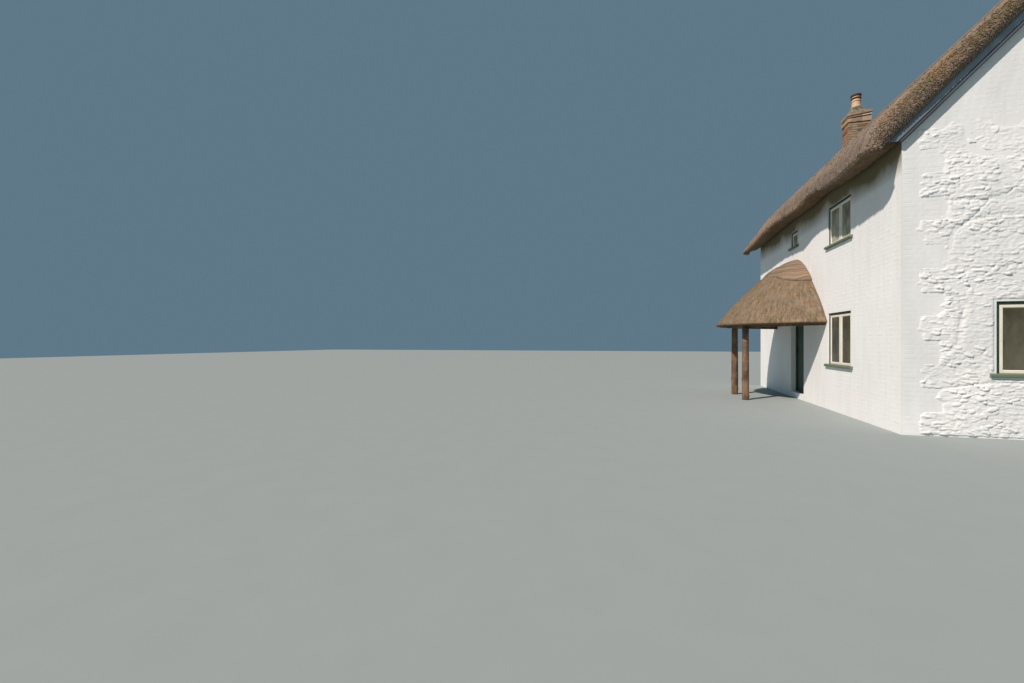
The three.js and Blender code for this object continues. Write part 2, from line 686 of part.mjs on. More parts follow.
// The porch's rafters, which meet under the apex, with their tops trimmed to the underside of the thatch
function porchRafters() {
  const side = 2 * PORCH_CORNER_ANGLE;
  const hipRise = PORCH_UNDER_RISE * Math.cos(PORCH_CORNER_ANGLE);
  const wallRise = PORCH_UNDER_RISE * Math.sin(side);
  const pieces = [0, side, -side].map((angle) => rafter(angle, PORCH_UNDER_RISE));
  for (const sign of [1, -1]) {
    pieces.push(rafter(sign * PORCH_CORNER_ANGLE, hipRise));
    pieces.push(rafter((sign * Math.PI) / 2, wallRise).translate(0, -RAFTER_WIDTH / 2 - FIT, 0));
  }
  const room = toSolid(porchHollow().translate(0, 0, -2 * FIT));
  return toGeometry(toSolid(join(pieces)).intersect(room).subtract(toSolid(houseSide())));
}

function addPorch() {
  const porch = new THREE.Group();
  porch.position.set(PORCH_X, -HALF_DEPTH, 0);
  addPiece(porch, "porch_thatch", porchThatch(), "thatch");
  addPiece(porch, "porch_thatch_cap", porchCap(), "ridgeThatch");
  addPiece(porch, "porch_plate", porchPlate(), "oak");
  addPiece(porch, "porch_rafters", porchRafters(), "oak");
  const height = plateTop() - PLATE_HEIGHT - FIT;
  const [x, y] = plateCorner(PORCH_PLATE_DISTANCE);
  for (const [name, sign] of [["porch_post_left", -1], ["porch_post_right", 1]]) {
    const post = new THREE.CylinderGeometry(POST_RADIUS * POST_TAPER, POST_RADIUS, height, POST_SIDES);
    addPiece(porch, name, post.rotateX(Math.PI / 2).translate(sign * x, y, height / 2), "oak");
  }
  cottage.add(porch);
}

// The door's frame and its boarded leaf, set back in the doorway
function addDoor() {
  const door = new THREE.Group();
  door.position.set(DOORWAY.across, -HALF_DEPTH + DOOR_RECESS, 0);
  const half = DOORWAY.width / 2 - FIT;
  const low = DOORWAY.bottom + FIT;
  const high = DOORWAY.top - FIT;
  const frame = cut(
    block([-half, 0, low], [half, DOOR_FRAME_DEPTH, high]),
    [block([-half + DOOR_FRAME_BAR, -CUT_PAST, low + THRESHOLD_HEIGHT],
      [half - DOOR_FRAME_BAR, DOOR_FRAME_DEPTH + CUT_PAST, high - DOOR_FRAME_BAR])]);
  addPiece(door, "door_frame", frame, "greenPaint");
  const leafHalf = half - DOOR_FRAME_BAR - FIT;
  const leaf = block(
    [-leafHalf, DOOR_SET_BACK, low + THRESHOLD_HEIGHT + FIT],
    [leafHalf, DOOR_SET_BACK + DOOR_THICKNESS, high - DOOR_FRAME_BAR - FIT]);
  addPiece(door, "front_door", leaf, "doorPaint");
  cottage.add(door);
}

// A frame with its projecting sill, in one joinery piece: X across the wall, Y into it
function windowFrame({ width, bottom, top }) {
  const half = width / 2 - FIT;
  const low = bottom + FIT;
  const high = top - FIT;
  const back = WINDOW_RECESS + FRAME_DEPTH;
  const ring = cut(
    block([-half, WINDOW_RECESS, low], [half, back, high]),
    [block([-half + FRAME_BAR, WINDOW_RECESS - CUT_PAST, low + SILL_HEIGHT],
      [half - FRAME_BAR, back + CUT_PAST, high - FRAME_BAR])]);
  const sill = block([-half, -SILL_PROJECTION, low], [half, back, low + SILL_HEIGHT]);
  const nose = width / 2 + SILL_HORN;
  const horns = block([-nose, -SILL_PROJECTION, low], [nose, -FIT, low + SILL_HEIGHT]);
  return join([ring, sill, horns]);
}

// The casements of one window, which meet at a broad cream bar
function windowCasements({ width, bottom, top, lights }) {
  const half = width / 2 - FRAME_BAR - 2 * FIT;
  const low = bottom + SILL_HEIGHT + 2 * FIT;
  const high = top - FRAME_BAR - 2 * FIT;
  const front = WINDOW_RECESS + CASEMENT_INSET;
  const light = (2 * half - 2 * CASEMENT_BAR - (lights - 1) * CASEMENT_MEETING) / lights;
  const holes = Array.from({ length: lights }, (_, i) => {
    const left = -half + CASEMENT_BAR + i * (light + CASEMENT_MEETING);
    return block(
      [left, front - CUT_PAST, low + CASEMENT_BAR],
      [left + light, front + CASEMENT_DEPTH + CUT_PAST, high - CASEMENT_BAR]);
  });
  return cut(block([-half, front, low], [half, front + CASEMENT_DEPTH, high]), holes);
}

// The sheet of glass behind the casements' bars
function windowGlass({ width, bottom, top }) {
  const half = width / 2 - FRAME_BAR - CASEMENT_BAR + GLASS_LAP;
  const low = bottom + SILL_HEIGHT + CASEMENT_BAR - GLASS_LAP;
  const high = top - FRAME_BAR - CASEMENT_BAR + GLASS_LAP;
  const front = WINDOW_RECESS + CASEMENT_INSET + CASEMENT_DEPTH + FIT;
  return block([-half, front, low], [half, front + GLASS_THICKNESS, high]);
}

// Each wall's outer face, as a group whose X runs to the right when the wall is seen from outside
const FACES = {
  front: { x: 0, y: -HALF_DEPTH, turn: 0 },
  near: { x: HALF_LENGTH, y: 0, turn: Math.PI / 2 },
  rear: { x: 0, y: HALF_DEPTH, turn: Math.PI },
};

function addWindows() {
  for (const [wall, { x, y, turn }] of Object.entries(FACES)) {
    const face = new THREE.Group();
    face.position.set(x, y, 0);
    face.rotation.z = turn;
    for (const window of WINDOWS.filter((each) => each.wall === wall)) {
      const place = new THREE.Group();
      place.position.x = window.across;
      addPiece(place, `${window.name}_frame`, windowFrame(window), "greenPaint");
      addPiece(place, `${window.name}_casements`, windowCasements(window), "creamPaint");
      addPiece(place, `${window.name}_glass`, windowGlass(window), "glass");
      face.add(place);
    }
    cottage.add(face);
  }
}

addFloors();
addWalls();
addThatch();
addBargeboards();
addChimney();
addPorch();
addDoor();
addWindows();

export default cottage;
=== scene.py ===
"""A two-storey thatched cottage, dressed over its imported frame. Metres, +Z up, in the frame's own axes:
the ridge runs along X, the porch is on the -Y side and the chimney at the -X end."""

import math

import bmesh
import bpy
import numpy as np
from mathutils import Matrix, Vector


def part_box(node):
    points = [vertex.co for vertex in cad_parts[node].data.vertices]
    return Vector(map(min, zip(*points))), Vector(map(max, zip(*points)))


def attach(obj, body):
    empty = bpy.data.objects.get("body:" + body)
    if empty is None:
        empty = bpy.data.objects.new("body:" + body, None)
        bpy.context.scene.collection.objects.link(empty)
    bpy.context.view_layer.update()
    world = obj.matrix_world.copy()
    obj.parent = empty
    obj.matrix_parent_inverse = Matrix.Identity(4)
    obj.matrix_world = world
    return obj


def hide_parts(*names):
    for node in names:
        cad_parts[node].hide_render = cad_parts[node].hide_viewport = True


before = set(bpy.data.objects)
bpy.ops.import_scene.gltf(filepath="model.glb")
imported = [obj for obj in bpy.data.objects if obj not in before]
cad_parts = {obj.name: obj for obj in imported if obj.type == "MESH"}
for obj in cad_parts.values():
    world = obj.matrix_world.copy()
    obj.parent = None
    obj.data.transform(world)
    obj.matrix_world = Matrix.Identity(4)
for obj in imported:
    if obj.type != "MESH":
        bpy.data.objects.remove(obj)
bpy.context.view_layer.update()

# Walls and roof, read from the frame
FIT = 0.0003
WALL_LOW, WALL_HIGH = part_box("front_wall")
HALF_LENGTH = WALL_HIGH.x
HALF_DEPTH = -WALL_LOW.y
WALL_TOP = WALL_HIGH.z + FIT
VERGE_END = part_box("front_thatch")[1].x
ROOF_RISE = math.tan(math.radians(46))

# Main thatch
BOARD_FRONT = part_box("near_bargeboards")[1].x
THATCH_HEIGHT = 0.405
THATCH_HEIGHT_AT_RIDGE = 0.26
VERGE_TUCK = 0.32
VERGE_TURN = math.radians(148)
VERGE_FOOT = HALF_DEPTH + 0.33
RIDGE_REACH = 0.52
RIDGE_ROUNDING = 0.06
RIDGE_HEIGHT = 0.05
EAVES_EDGE = HALF_DEPTH + 0.5
EAVES_JUNCTION = 4.56
EAVES_LIP = 4.43
SOFFIT_LIFT_SHARE = 0.35
LIFT_START = 0.35
LIFT_POWER = 1.6

# Stations out from the ridge: of the roof, of the slope past them, and the shares of the soffit's width
ROOF_STATIONS = (0, 0.13, 0.26, 0.39, 0.52, 1.085, 1.705, 2.325)
SLOPE_STATIONS = (*ROOF_STATIONS, 2.6, 2.8, 2.97)
SOFFIT_PARTS = (0, 0.17, 0.34, 0.52, 0.72, 0.86, 1)

# Points round each verge, along each slope between the gables, and down each section
VERGE_STEPS = 26
MIDDLE_STATIONS = {"front": 222, "rear": 170}
SECTION_POINTS = 116

# The point of a section, midway down the slope, along which distances round the verges are measured
MEASURED_POINT = 60

# The turn round a verge from which its straw is worn, and from which it is worn through
WORN_VERGE = (0.2, 1.05)

# The tan band along the eaves, partly painted highlight where the sun catches the arris: its first station,
# how much higher it starts at the far gable, and where along the slope that rise begins and ends
TAN_AND_HIGHLIGHT_BAND = (12.5, 1.7, -0.3, 1.3)

# The eaves' end from its top to its lip: distance past the edge, and share of the end's height
EAVES_END = [(-0.02, 0.93), (0.03, 0.65), (0.04, 0.3), (0.035, 0.06), (0.0, 0.0)]

# The top of the end follows the lip's lift by this share only
TOP_LIFT_SHARE = 0.25

# Towards the far gable the top of the front end sinks: from and to a distance from the middle, and how deep
FRONT_SINK = (1.6, 3.8, 0.24)

# Over the front upper window the edge is cut back: start, full, end of that and end along X, and how deep
FRONT_CUT = (0.4, 0.9, 1.92, 2.05, 0.08)

# Behind the soffit a dark groove runs along the wall: how high it goes at the wall and a little way out
SOFFIT_GROOVE = (0.14, 0.03)

# Where the eaves of each slope sweep up: the middle along X, the most lift, and how far it spreads
EAVES_SWEEPS = {
    "front": [(1.6, 0.17, 0.8), (-0.9, 0.14, 2.0), (4.35, 0.09, 0.7)],
    "rear": [(1.875, 0.2, 1.3), (-1.875, 0.2, 1.3)],
}

# Porch
PORCH_X = (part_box("porch_plate")[0].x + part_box("porch_plate")[1].x) / 2
PORCH_APEX = 3.56
PORCH_FALL = (1.62, 1.9, 1.54)
PORCH_LIP = 1.88
PORCH_LIP_PROFILE = [
    (1.908, 0.05), (1.915, 0.035), (1.905, 0.016), (1.885, 0.006), (1.84, 0.001), (1.785, 0.0)]
PORCH_SIDE_ANGLE = math.radians(2 * 25.15)
PORCH_PLATE_DISTANCE = 1.36
PORCH_UNDER_AT_PLATE = 2.11
PORCH_UNDER_RISE = 0.92
PORCH_CAP_WIDTH = 1.03
PORCH_CAP_DEPTH = 0.78
PORCH_CAP_HEIGHT = 0.05

# Brickwork: a course of old brick is 75 mm with its joint
COURSE = 0.075
JOINT = 0.01
STRETCHER = 0.225
HEADER = 0.1125
BRICK_WIDTH = 0.105
BRICK_SLIP = 0.003

# Painted bricks stand out between these heights, and the paint slopes off them this far at ends and edges
BRICK_PROUD = (0.0002, 0.0013)
PAINT_SLOPES = (0.036, 0.008)

# Above this height the gables are brick, without rubble
SMOOTH_GABLE_FROM = 4.93

# The quoins' narrow and wide teeth, and how high each stands
QUOIN_TEETH = (0.25, 0.55)
QUOIN_BAND = 5 * COURSE

# The chimney's cap has settled on its -Y side, by this share of each height there
CAP_SETTLING = 0.28

# The cap's courses from its foot up: how far past the stack, and from and to a height over the foot
CAP_COURSES = [(0.025, 0.006, 0.16), (-0.015, 0.16, 0.19), (0.035, 0.19, 0.24), (-0.01, 0.24, 0.27)]
CAP_SLAB = (0.045, 0.27)

# The pot's section round from its foot: radius, and share of its height
POT_PROFILE = [
    (0.13, 0), (0.13, 0.09), (0.119, 0.13), (0.113, 0.44), (0.126, 0.47), (0.128, 0.51), (0.126, 0.55),
    (0.115, 0.58), (0.116, 0.62), (0.134, 0.65), (0.136, 0.695), (0.134, 0.74), (0.118, 0.77),
    (0.118, 0.82), (0.138, 0.86), (0.142, 0.92), (0.14, 0.97), (0.132, 1.0), (0.104, 0.985),
    (0.099, 0.9), (0.099, 0.02), (0.11, 0.0)]
POT_POINTS = 150
POT_SIDES = 64

# Rubble: the usual size of a stone in the painted gables
STONE_LENGTH = 0.11
STONE_HEIGHT = 0.05

# The grid's step in the relief, finer on the gable that the photograph shows, and how far its rim lies back
RUBBLE_STEPS = {"near": 0.0145, "far": 0.031}
RUBBLE_RIM = 0.004

# Cracks in the near gable's paint: places across it and their heights
GABLE_CRACKS = [
    ((-1.9, -1.83, -1.5, -1.15, -1.0), (3.1, 3.2, 3.61, 3.78, 3.8)),
    ((-2.1, -2.01, -1.65, -1.34, -1.0), (2.43, 2.44, 2.62, 2.6, 2.66)),
]

# Joinery
FRAME_BAR = 0.05
FRAME_RECESS = 0.02
FRAME_DEPTH = 0.075
SILL_HEIGHT = 0.06
SILL_PROJECTION = 0.05
SILL_HORN = 0.09
CASEMENT_BAR = 0.055
CASEMENT_MEETING = 0.15
CASEMENT_DEPTH = 0.042
CASEMENT_FRONT = 0.026
CASEMENT_GAP = 0.0025
LIGHTS = {"front_small_window": 1, "near_gable_window": 3}

# Sections of a window's frame and of a casement. The frame's points give how far in from its edge and how
# deep behind its front they lie, and the casement's the share of the stile's width and how deep
FRAME_SECTION = [
    (0, 0.003), (0.003, 0), (FRAME_BAR - 0.012, 0), (FRAME_BAR - 0.006, 0.004), (FRAME_BAR, 0.006),
    (FRAME_BAR, FRAME_DEPTH), (0, FRAME_DEPTH)]
CASEMENT_SECTION = [
    (0, 0.003), (0.05, 0), (0.72, 0), (0.78, 0.004), (0.94, 0.014), (1, 0.016),
    (1, CASEMENT_DEPTH), (0, CASEMENT_DEPTH)]

# Windows that the sun strikes, whose panes are drawn darker by this share as painted shade,
# so that the rooms behind stay dark
SUNLIT_WINDOWS = ("front_ground_window", "near_gable_window")
SUNLIT_SHARE = 0.8

# The door's boards, and the width and depth of each side of the groove between two
DOOR_BOARDS = 5
DOOR_GROOVE = (0.007, 0.006)

# Each wall's middle on its outer face, its direction across when seen from outside, and its outward direction
WALLS = {
    "front": ((0, -HALF_DEPTH), (1, 0), (0, -1)),
    "near": ((HALF_LENGTH, 0), (0, 1), (1, 0)),
    "rear": ((0, HALF_DEPTH), (-1, 0), (0, 1)),
    "far": ((-HALF_LENGTH, 0), (0, -1), (-1, 0)),
}
WINDOW_WALLS = {
    "front_upper_window": "front",
    "front_small_window": "front",
    "front_ground_window": "front",
    "near_gable_window": "near",
    "rear_upper_window_left": "rear",
    "rear_upper_window_right": "rear",
    "rear_ground_window_left": "rear",
    "rear_ground_window_right": "rear",
}

# Camera, light and floor
CAMERA_PLACE = (12.73, -6.7, 1.48)
CAMERA_HEADING = math.radians(105)
LENS_PIXELS = 455
IMAGE_WIDTH = 1024
SENSOR_WIDTH = 36.0
SUN_FROM = (1.1, -1.0, 1.5)
SUN_STRENGTH = 4.4
SUN_SPREAD = math.radians(1.5)
SUN_COLOUR = (1.0, 0.87, 0.785)
SKY_COLOUR = "#99c0d8"
SKY_STRENGTH = 0.36
FLOOR_HALF = 60.0


def linear(colour):
    """An sRGB hex colour as linear RGBA."""
    channels = [int(colour[i:i + 2], 16) / 255 for i in (1, 3, 5)]
    return [c / 12.92 if c <= 0.04045 else ((c + 0.055) / 1.055) ** 2.4 for c in channels] + [1.0]


def add_node(tree, kind, inputs=None, output=None, **settings):
    """Adds a shader node, gives it its settings, and sets or links each of its inputs. Returns the output
    asked for, or else the first one in use. In a Mix, inputs 0, 6 and 7 are its factor and two colours, and
    in a MapRange 0 is the value, 1 and 2 its own range and 3 and 4 the new one."""
    node = tree.nodes.new(f"ShaderNode{kind}")
    for key, value in settings.items():
        setattr(node, key, value)
    for socket, value in (inputs or {}).items():
        if isinstance(value, bpy.types.NodeSocket):
            tree.links.new(value, node.inputs[socket])
        else:
            node.inputs[socket].default_value = value
    if output is not None:
        return node.outputs[output]
    return next(socket for socket in node.outputs if socket.enabled)


def start_material(name, **sockets):
    """A material with one Principled shader, whose constant values are set on its own sockets."""
    material = bpy.data.materials.new(name)
    material.use_nodes = True
    shader = material.node_tree.nodes["Principled BSDF"]
    for socket, value in sockets.items():
        shader.inputs[socket.replace("_", " ")].default_value = value
    return material, material.node_tree, shader


def place_pattern(tree, cell, source="Object"):
    """Coordinates in which a pattern's cell has the given size in metres, the same or its own along each
    axis, from the object or from its flow map."""
    if source == "Object":
        start = add_node(tree, "TexCoord", output="Object")
    else:
        start = add_node(tree, "UVMap", uv_map=source)
    return add_node(tree, "Mapping", {"Vector": start, "Scale": 1 / np.broadcast_to(cell, 3)})


def finish_surface(tree, shader, colour, height, strength, distance):
    """Links a colour and a bump height to the shader."""
    tree.links.new(colour, shader.inputs["Base Color"])
    bump = add_node(tree, "Bump", {"Height": height, "Strength": strength, "Distance": distance})
    tree.links.new(bump, shader.inputs["Normal"])


def combed_straw(name, dark, light, bleached, under, thick, reach, speck):
    """Straw, laid wet in bundles, combed down and weathered: short pale flecks and dark gaps, drifts that
    the sun has bleached, cushions of ochre lichen and moss where it stays damp, tan broken ends along the
    lip, lighter there also as painted highlight where the sun catches the arris, and brown straw
    underneath, where no sun reaches it. The last three give a fleck's width and length, and how much the
    grain speckles it."""
    material, tree, shader = start_material(name, Roughness=0.95, Specular_IOR_Level=0.12)
    # A straw is 5 mm thick, drawn 30 mm or more so that it shows, and its broken grain is drawn at 40 mm
    flecks = place_pattern(tree, (thick, reach, 1), "flow")
    fleck = add_node(tree, "TexNoise", {"Vector": flecks, "Scale": 1, "Detail": 3, "Roughness": 0.7})
    grains = place_pattern(tree, 0.04)
    grain = add_node(tree, "TexNoise", {"Vector": grains, "Scale": 1, "Detail": 4, "Roughness": 0.75})
    tone = add_node(tree, "Attribute", output="Fac", attribute_name="tone")
    mixed = add_node(tree, "Math", {0: grain, 1: speck, 2: fleck}, operation="MULTIPLY_ADD")
    fine = add_node(tree, "Math", {0: mixed, 1: tone}, operation="ADD")
    streak = add_node(tree, "MapRange", {0: fine, 1: 0.28 + speck / 2, 2: 0.72 + speck / 2})
    straw = add_node(tree, "Mix", {0: streak, 6: linear(dark), 7: linear(light)}, data_type="RGBA")
    drifts = place_pattern(tree, 0.7)
    drift = add_node(tree, "TexNoise", {"Vector": drifts, "Scale": 1, "Detail": 7, "Roughness": 0.65})
    fade = add_node(tree, "MapRange", {0: drift, 1: 0.42, 2: 0.68, 4: 0.55})
    pale = add_node(tree, "Mix", {0: fade, 6: straw, 7: linear(bleached)}, data_type="RGBA")
    # Moss and lichen grow in cushions of 50 to 120 mm
    cushions = place_pattern(tree, 0.1)
    cushion = add_node(tree, "TexNoise", {"Vector": cushions, "Scale": 1, "Detail": 5, "Roughness": 0.75})
    kinds = place_pattern(tree, 0.28)
    kind = add_node(tree, "TexNoise", {"Vector": kinds, "Scale": 1, "Detail": 3, "Roughness": 0.6})
    choice = add_node(tree, "MapRange", {0: kind, 1: 0.42, 2: 0.58})
    growth = add_node(tree, "Mix", {0: choice, 6: linear("#605932"), 7: linear("#7f6437")}, data_type="RGBA")
    damp = add_node(tree, "Attribute", output="Fac", attribute_name="moss")
    wet = add_node(tree, "Math", {0: cushion, 1: damp}, operation="MULTIPLY")
    cover = add_node(tree, "MapRange", {0: wet, 1: 0.3, 2: 0.6, 4: 0.66})
    mossy = add_node(tree, "Mix", {0: cover, 6: pale, 7: growth}, data_type="RGBA")
    # Along the lip: the broken ends' tan, also painted highlight where the sun catches the arris
    broken = add_node(tree, "Attribute", output="Fac", attribute_name="broken")
    lip = add_node(tree, "Math", {0: broken, 1: streak}, operation="MULTIPLY")
    tan_and_highlight = add_node(tree, "Mix", {0: lip, 6: mossy, 7: linear("#b3967c")}, data_type="RGBA")
    inner = add_node(tree, "Mix", {0: streak, 6: linear("#55432f"), 7: linear(under)}, data_type="RGBA")
    sheltered = add_node(tree, "Attribute", output="Fac", attribute_name="under")
    colour = add_node(tree, "Mix", {0: sheltered, 6: tan_and_highlight, 7: inner}, data_type="RGBA")
    finish_surface(tree, shader, colour, fine, 1.0, 0.022)
    return material


def masonry_paint():
    """Matt white masonry paint, brushed thickly over brick and stone for years: nearly even white with soft
    grey runs, greyer in patches on the gables as painted shade, olive and darker up the long walls towards
    the soffit, and the brush's grain."""
    material, tree, shader = start_material("brushed_masonry_paint", Roughness=0.8, Specular_IOR_Level=0.25)
    stains = place_pattern(tree, (0.9, 0.9, 1.6))
    blotches = add_node(tree, "TexNoise", {"Vector": stains, "Scale": 1, "Detail": 6, "Roughness": 0.65})
    runs = place_pattern(tree, (0.12, 0.12, 1.4))
    run = add_node(tree, "TexNoise", {"Vector": runs, "Scale": 1, "Detail": 4, "Roughness": 0.6})
    dulled = add_node(tree, "MapRange", {0: blotches, 1: 0.35, 2: 0.75})
    base = add_node(tree, "Mix", {0: dulled, 6: linear("#f8f9f8"), 7: linear("#eeefec")}, data_type="RGBA")
    washed = add_node(tree, "MapRange", {0: run, 1: 0.5, 2: 0.85, 4: 0.3})
    streaked = add_node(tree, "Mix", {0: washed, 6: base, 7: linear("#d3d5d3")}, data_type="RGBA")
    middle = add_node(tree, "TexCoord", output="Object")
    place = add_node(tree, "SeparateXYZ", {0: middle}).node.outputs
    # Painted shade: the gables' paint is greyed in patches
    along = add_node(tree, "Math", {0: place[0]}, operation="ABSOLUTE")
    gable = add_node(tree, "MapRange", {0: along, 1: HALF_LENGTH - 0.012, 2: HALF_LENGTH - 0.002, 4: 0.55})
    painted_gable_shade = add_node(tree, "Math", {0: gable, 1: blotches}, operation="MULTIPLY")
    weathered = add_node(tree, "Mix", {0: painted_gable_shade, 6: streaked, 7: linear("#adb8bc")}, data_type="RGBA")
    # Up the long walls towards the soffit the paint turns olive and dark
    across = add_node(tree, "Math", {0: place[1]}, operation="ABSOLUTE")
    long_wall = add_node(tree, "MapRange", {0: across, 1: HALF_DEPTH - 0.012, 2: HALF_DEPTH - 0.002})
    high = add_node(tree, "MapRange", {0: place[2], 1: EAVES_JUNCTION - 0.45, 2: EAVES_JUNCTION + 0.02})
    under_soffit = add_node(tree, "Math", {0: long_wall, 1: high}, operation="MULTIPLY")
    spread = add_node(tree, "Math", {0: under_soffit, 1: blotches}, operation="MULTIPLY")
    olive_darkening = add_node(tree, "MapRange", {0: spread, 1: 0.0, 2: 0.38, 4: 0.95})
    colour = add_node(tree, "Mix", {0: olive_darkening, 6: weathered, 7: linear("#6e6644")}, data_type="RGBA")
    # Brush marks are 2 mm apart, drawn 12 mm apart so that they show
    marks = place_pattern(tree, (0.03, 0.03, 0.012))
    mark = add_node(tree, "TexNoise", {"Vector": marks, "Scale": 1, "Detail": 5, "Roughness": 0.65})
    finish_surface(tree, shader, colour, mark, 0.3, 0.003)
    return material


def fired_brick(name, dark, light, hot, coursed):
    """Hand-made brick, clamp fired: each brick its own shade from the kiln, some fired orange, with a sandy,
    pitted face and soot. Where the bricks aren't pieces of their own, they are drawn as courses of 75 mm."""
    material, tree, shader = start_material(name, Roughness=0.9, Specular_IOR_Level=0.2)
    # Pits and sand are 2 mm across, drawn at 20 mm so that they show
    pits = place_pattern(tree, 0.02)
    pit = add_node(tree, "TexNoise", {"Vector": pits, "Scale": 1, "Detail": 5, "Roughness": 0.7})
    clouds = place_pattern(tree, (0.13, 0.13, 0.09))
    cloud = add_node(tree, "TexNoise", {"Vector": clouds, "Scale": 1, "Detail": 5, "Roughness": 0.65})
    if coursed:
        turned = add_node(tree, "Mapping", {
            "Vector": add_node(tree, "TexCoord", output="Object"), "Rotation": (math.radians(90), 0, 0)})
        kiln = add_node(tree, "TexBrick", {
            "Vector": turned, "Color1": linear(dark), "Color2": linear(light),
            "Mortar": linear("#b3aa99"), "Scale": 1, "Mortar Size": JOINT / 2, "Brick Width": STRETCHER,
            "Row Height": COURSE})
    else:
        tone = add_node(tree, "Attribute", output="Fac", attribute_name="tone")
        plain = add_node(tree, "Mix", {0: tone, 6: linear(dark), 7: linear(light)}, data_type="RGBA")
        fired = add_node(tree, "Attribute", output="Fac", attribute_name="fired")
        kiln = add_node(tree, "Mix", {0: fired, 6: plain, 7: linear(hot)}, data_type="RGBA")
    soot = add_node(tree, "MapRange", {0: cloud, 1: 0.5, 2: 0.75, 4: 0.5})
    colour = add_node(tree, "Mix", {0: soot, 6: kiln, 7: linear("#4f463c")}, data_type="RGBA")
    finish_surface(tree, shader, colour, pit, 0.6, 0.006)
    return material


def lime_mortar(name, pale, dark):
    """Lime mortar, trowelled and weathered: gritty, with grey and ochre lichen."""
    material, tree, shader = start_material(name, Roughness=0.95, Specular_IOR_Level=0.2)
    lichens = place_pattern(tree, 0.12)
    lichen = add_node(tree, "TexNoise", {"Vector": lichens, "Scale": 1, "Detail": 6, "Roughness": 0.7})
    # Grit is 2 mm across, drawn at 8 mm so that it shows
    grits = place_pattern(tree, 0.008)
    grit = add_node(tree, "TexNoise", {"Vector": grits, "Scale": 1, "Detail": 3, "Roughness": 0.6})
    spread = add_node(tree, "MapRange", {0: lichen, 1: 0.4, 2: 0.62})
    colour = add_node(tree, "Mix", {0: spread, 6: linear(pale), 7: linear(dark)}, data_type="RGBA")
    finish_surface(tree, shader, colour, grit, 0.5, 0.004)
    return material


def buff_clay():
    """Buff clay, thrown and fired hard: smooth and warm, dark with soot on its upper ring and rim, and
    with painted shade under its lower ring.
    """
    material, tree, shader = start_material("fired_buff_clay", Roughness=0.7, Specular_IOR_Level=0.3)
    smokes = place_pattern(tree, (0.05, 0.05, 0.09))
    smoke_and_shade = add_node(tree, "TexNoise", {"Vector": smokes, "Scale": 1, "Detail": 4, "Roughness": 0.6})
    ring = add_node(tree, "Attribute", output="Fac", attribute_name="smoke_and_shade")
    soot_and_shade = add_node(tree, "Math", {0: ring, 1: smoke_and_shade}, operation="ADD")
    cover = add_node(tree, "MapRange", {0: soot_and_shade, 1: 0.62, 2: 1.1})
    colour = add_node(tree, "Mix", {0: cover, 6: linear("#cdb08a"), 7: linear("#4a3129")}, data_type="RGBA")
    finish_surface(tree, shader, colour, smoke_and_shade, 0.2, 0.004)
    return material


def brushed_paint(name, colour, worn, chalky, roughness):
    """Oil paint, brushed along softwood: an even satin coat with the grain faintly raised under it, chalking
    where the weather reaches it, most on sills, and drawn dark slate where a piece marks it: on the boards,
    painted shade under the thatch and on the soffit, and dark along the bead and towards each foot."""
    material, tree, shader = start_material(name, Roughness=roughness, Specular_IOR_Level=0.4)
    # The grain's ridges are 2 mm apart, drawn 10 mm apart so that they show
    grains = place_pattern(tree, (0.01, 0.01, 0.16))
    grain = add_node(tree, "TexNoise", {"Vector": grains, "Scale": 1, "Detail": 4, "Roughness": 0.6})
    chalks = place_pattern(tree, 0.22)
    chalk = add_node(tree, "TexNoise", {"Vector": chalks, "Scale": 1, "Detail": 6, "Roughness": 0.7})
    spread = add_node(tree, "MapRange", {0: chalk, 1: 0.42, 2: 0.72})
    mixed = add_node(tree, "Mix", {0: spread, 6: linear(colour), 7: linear(worn)}, data_type="RGBA")
    bare = add_node(tree, "Attribute", output="Fac", attribute_name="worn")
    chalked = add_node(tree, "Mix", {0: bare, 6: mixed, 7: linear(chalky)}, data_type="RGBA")
    # Painted shade where a piece marks it: the paint is drawn towards dark slate
    dark_share = add_node(tree, "Attribute", output="Fac", attribute_name="dark_share")
    darker_paint = add_node(tree, "Mix", {0: dark_share, 6: chalked, 7: linear("#39434a")}, data_type="RGBA")
    finish_surface(tree, shader, darker_paint, grain, 0.25, 0.002)
    return material


def riven_oak():
    """Oak, peeled and left to weather: grey-brown, with long splits along the grain and darker knots."""
    material, tree, shader = start_material("weathered_oak", Roughness=0.85, Specular_IOR_Level=0.25)
    # Splits are 5 mm apart, drawn 20 mm apart so that they show
    grains = place_pattern(tree, (0.02, 0.02, 0.5))
    grain = add_node(tree, "TexNoise", {"Vector": grains, "Scale": 1, "Detail": 6, "Roughness": 0.65})
    knots = place_pattern(tree, (0.25, 0.25, 0.35))
    knot = add_node(tree, "TexNoise", {"Vector": knots, "Scale": 1, "Detail": 3, "Roughness": 0.5})
    both = add_node(tree, "Math", {0: grain, 1: knot}, operation="ADD")
    spread = add_node(tree, "MapRange", {0: both, 1: 0.7, 2: 1.25})
    colour = add_node(tree, "Mix", {0: spread, 6: linear("#34281d"), 7: linear("#8d745c")}, data_type="RGBA")
    finish_surface(tree, shader, colour, grain, 0.6, 0.006)
    return material


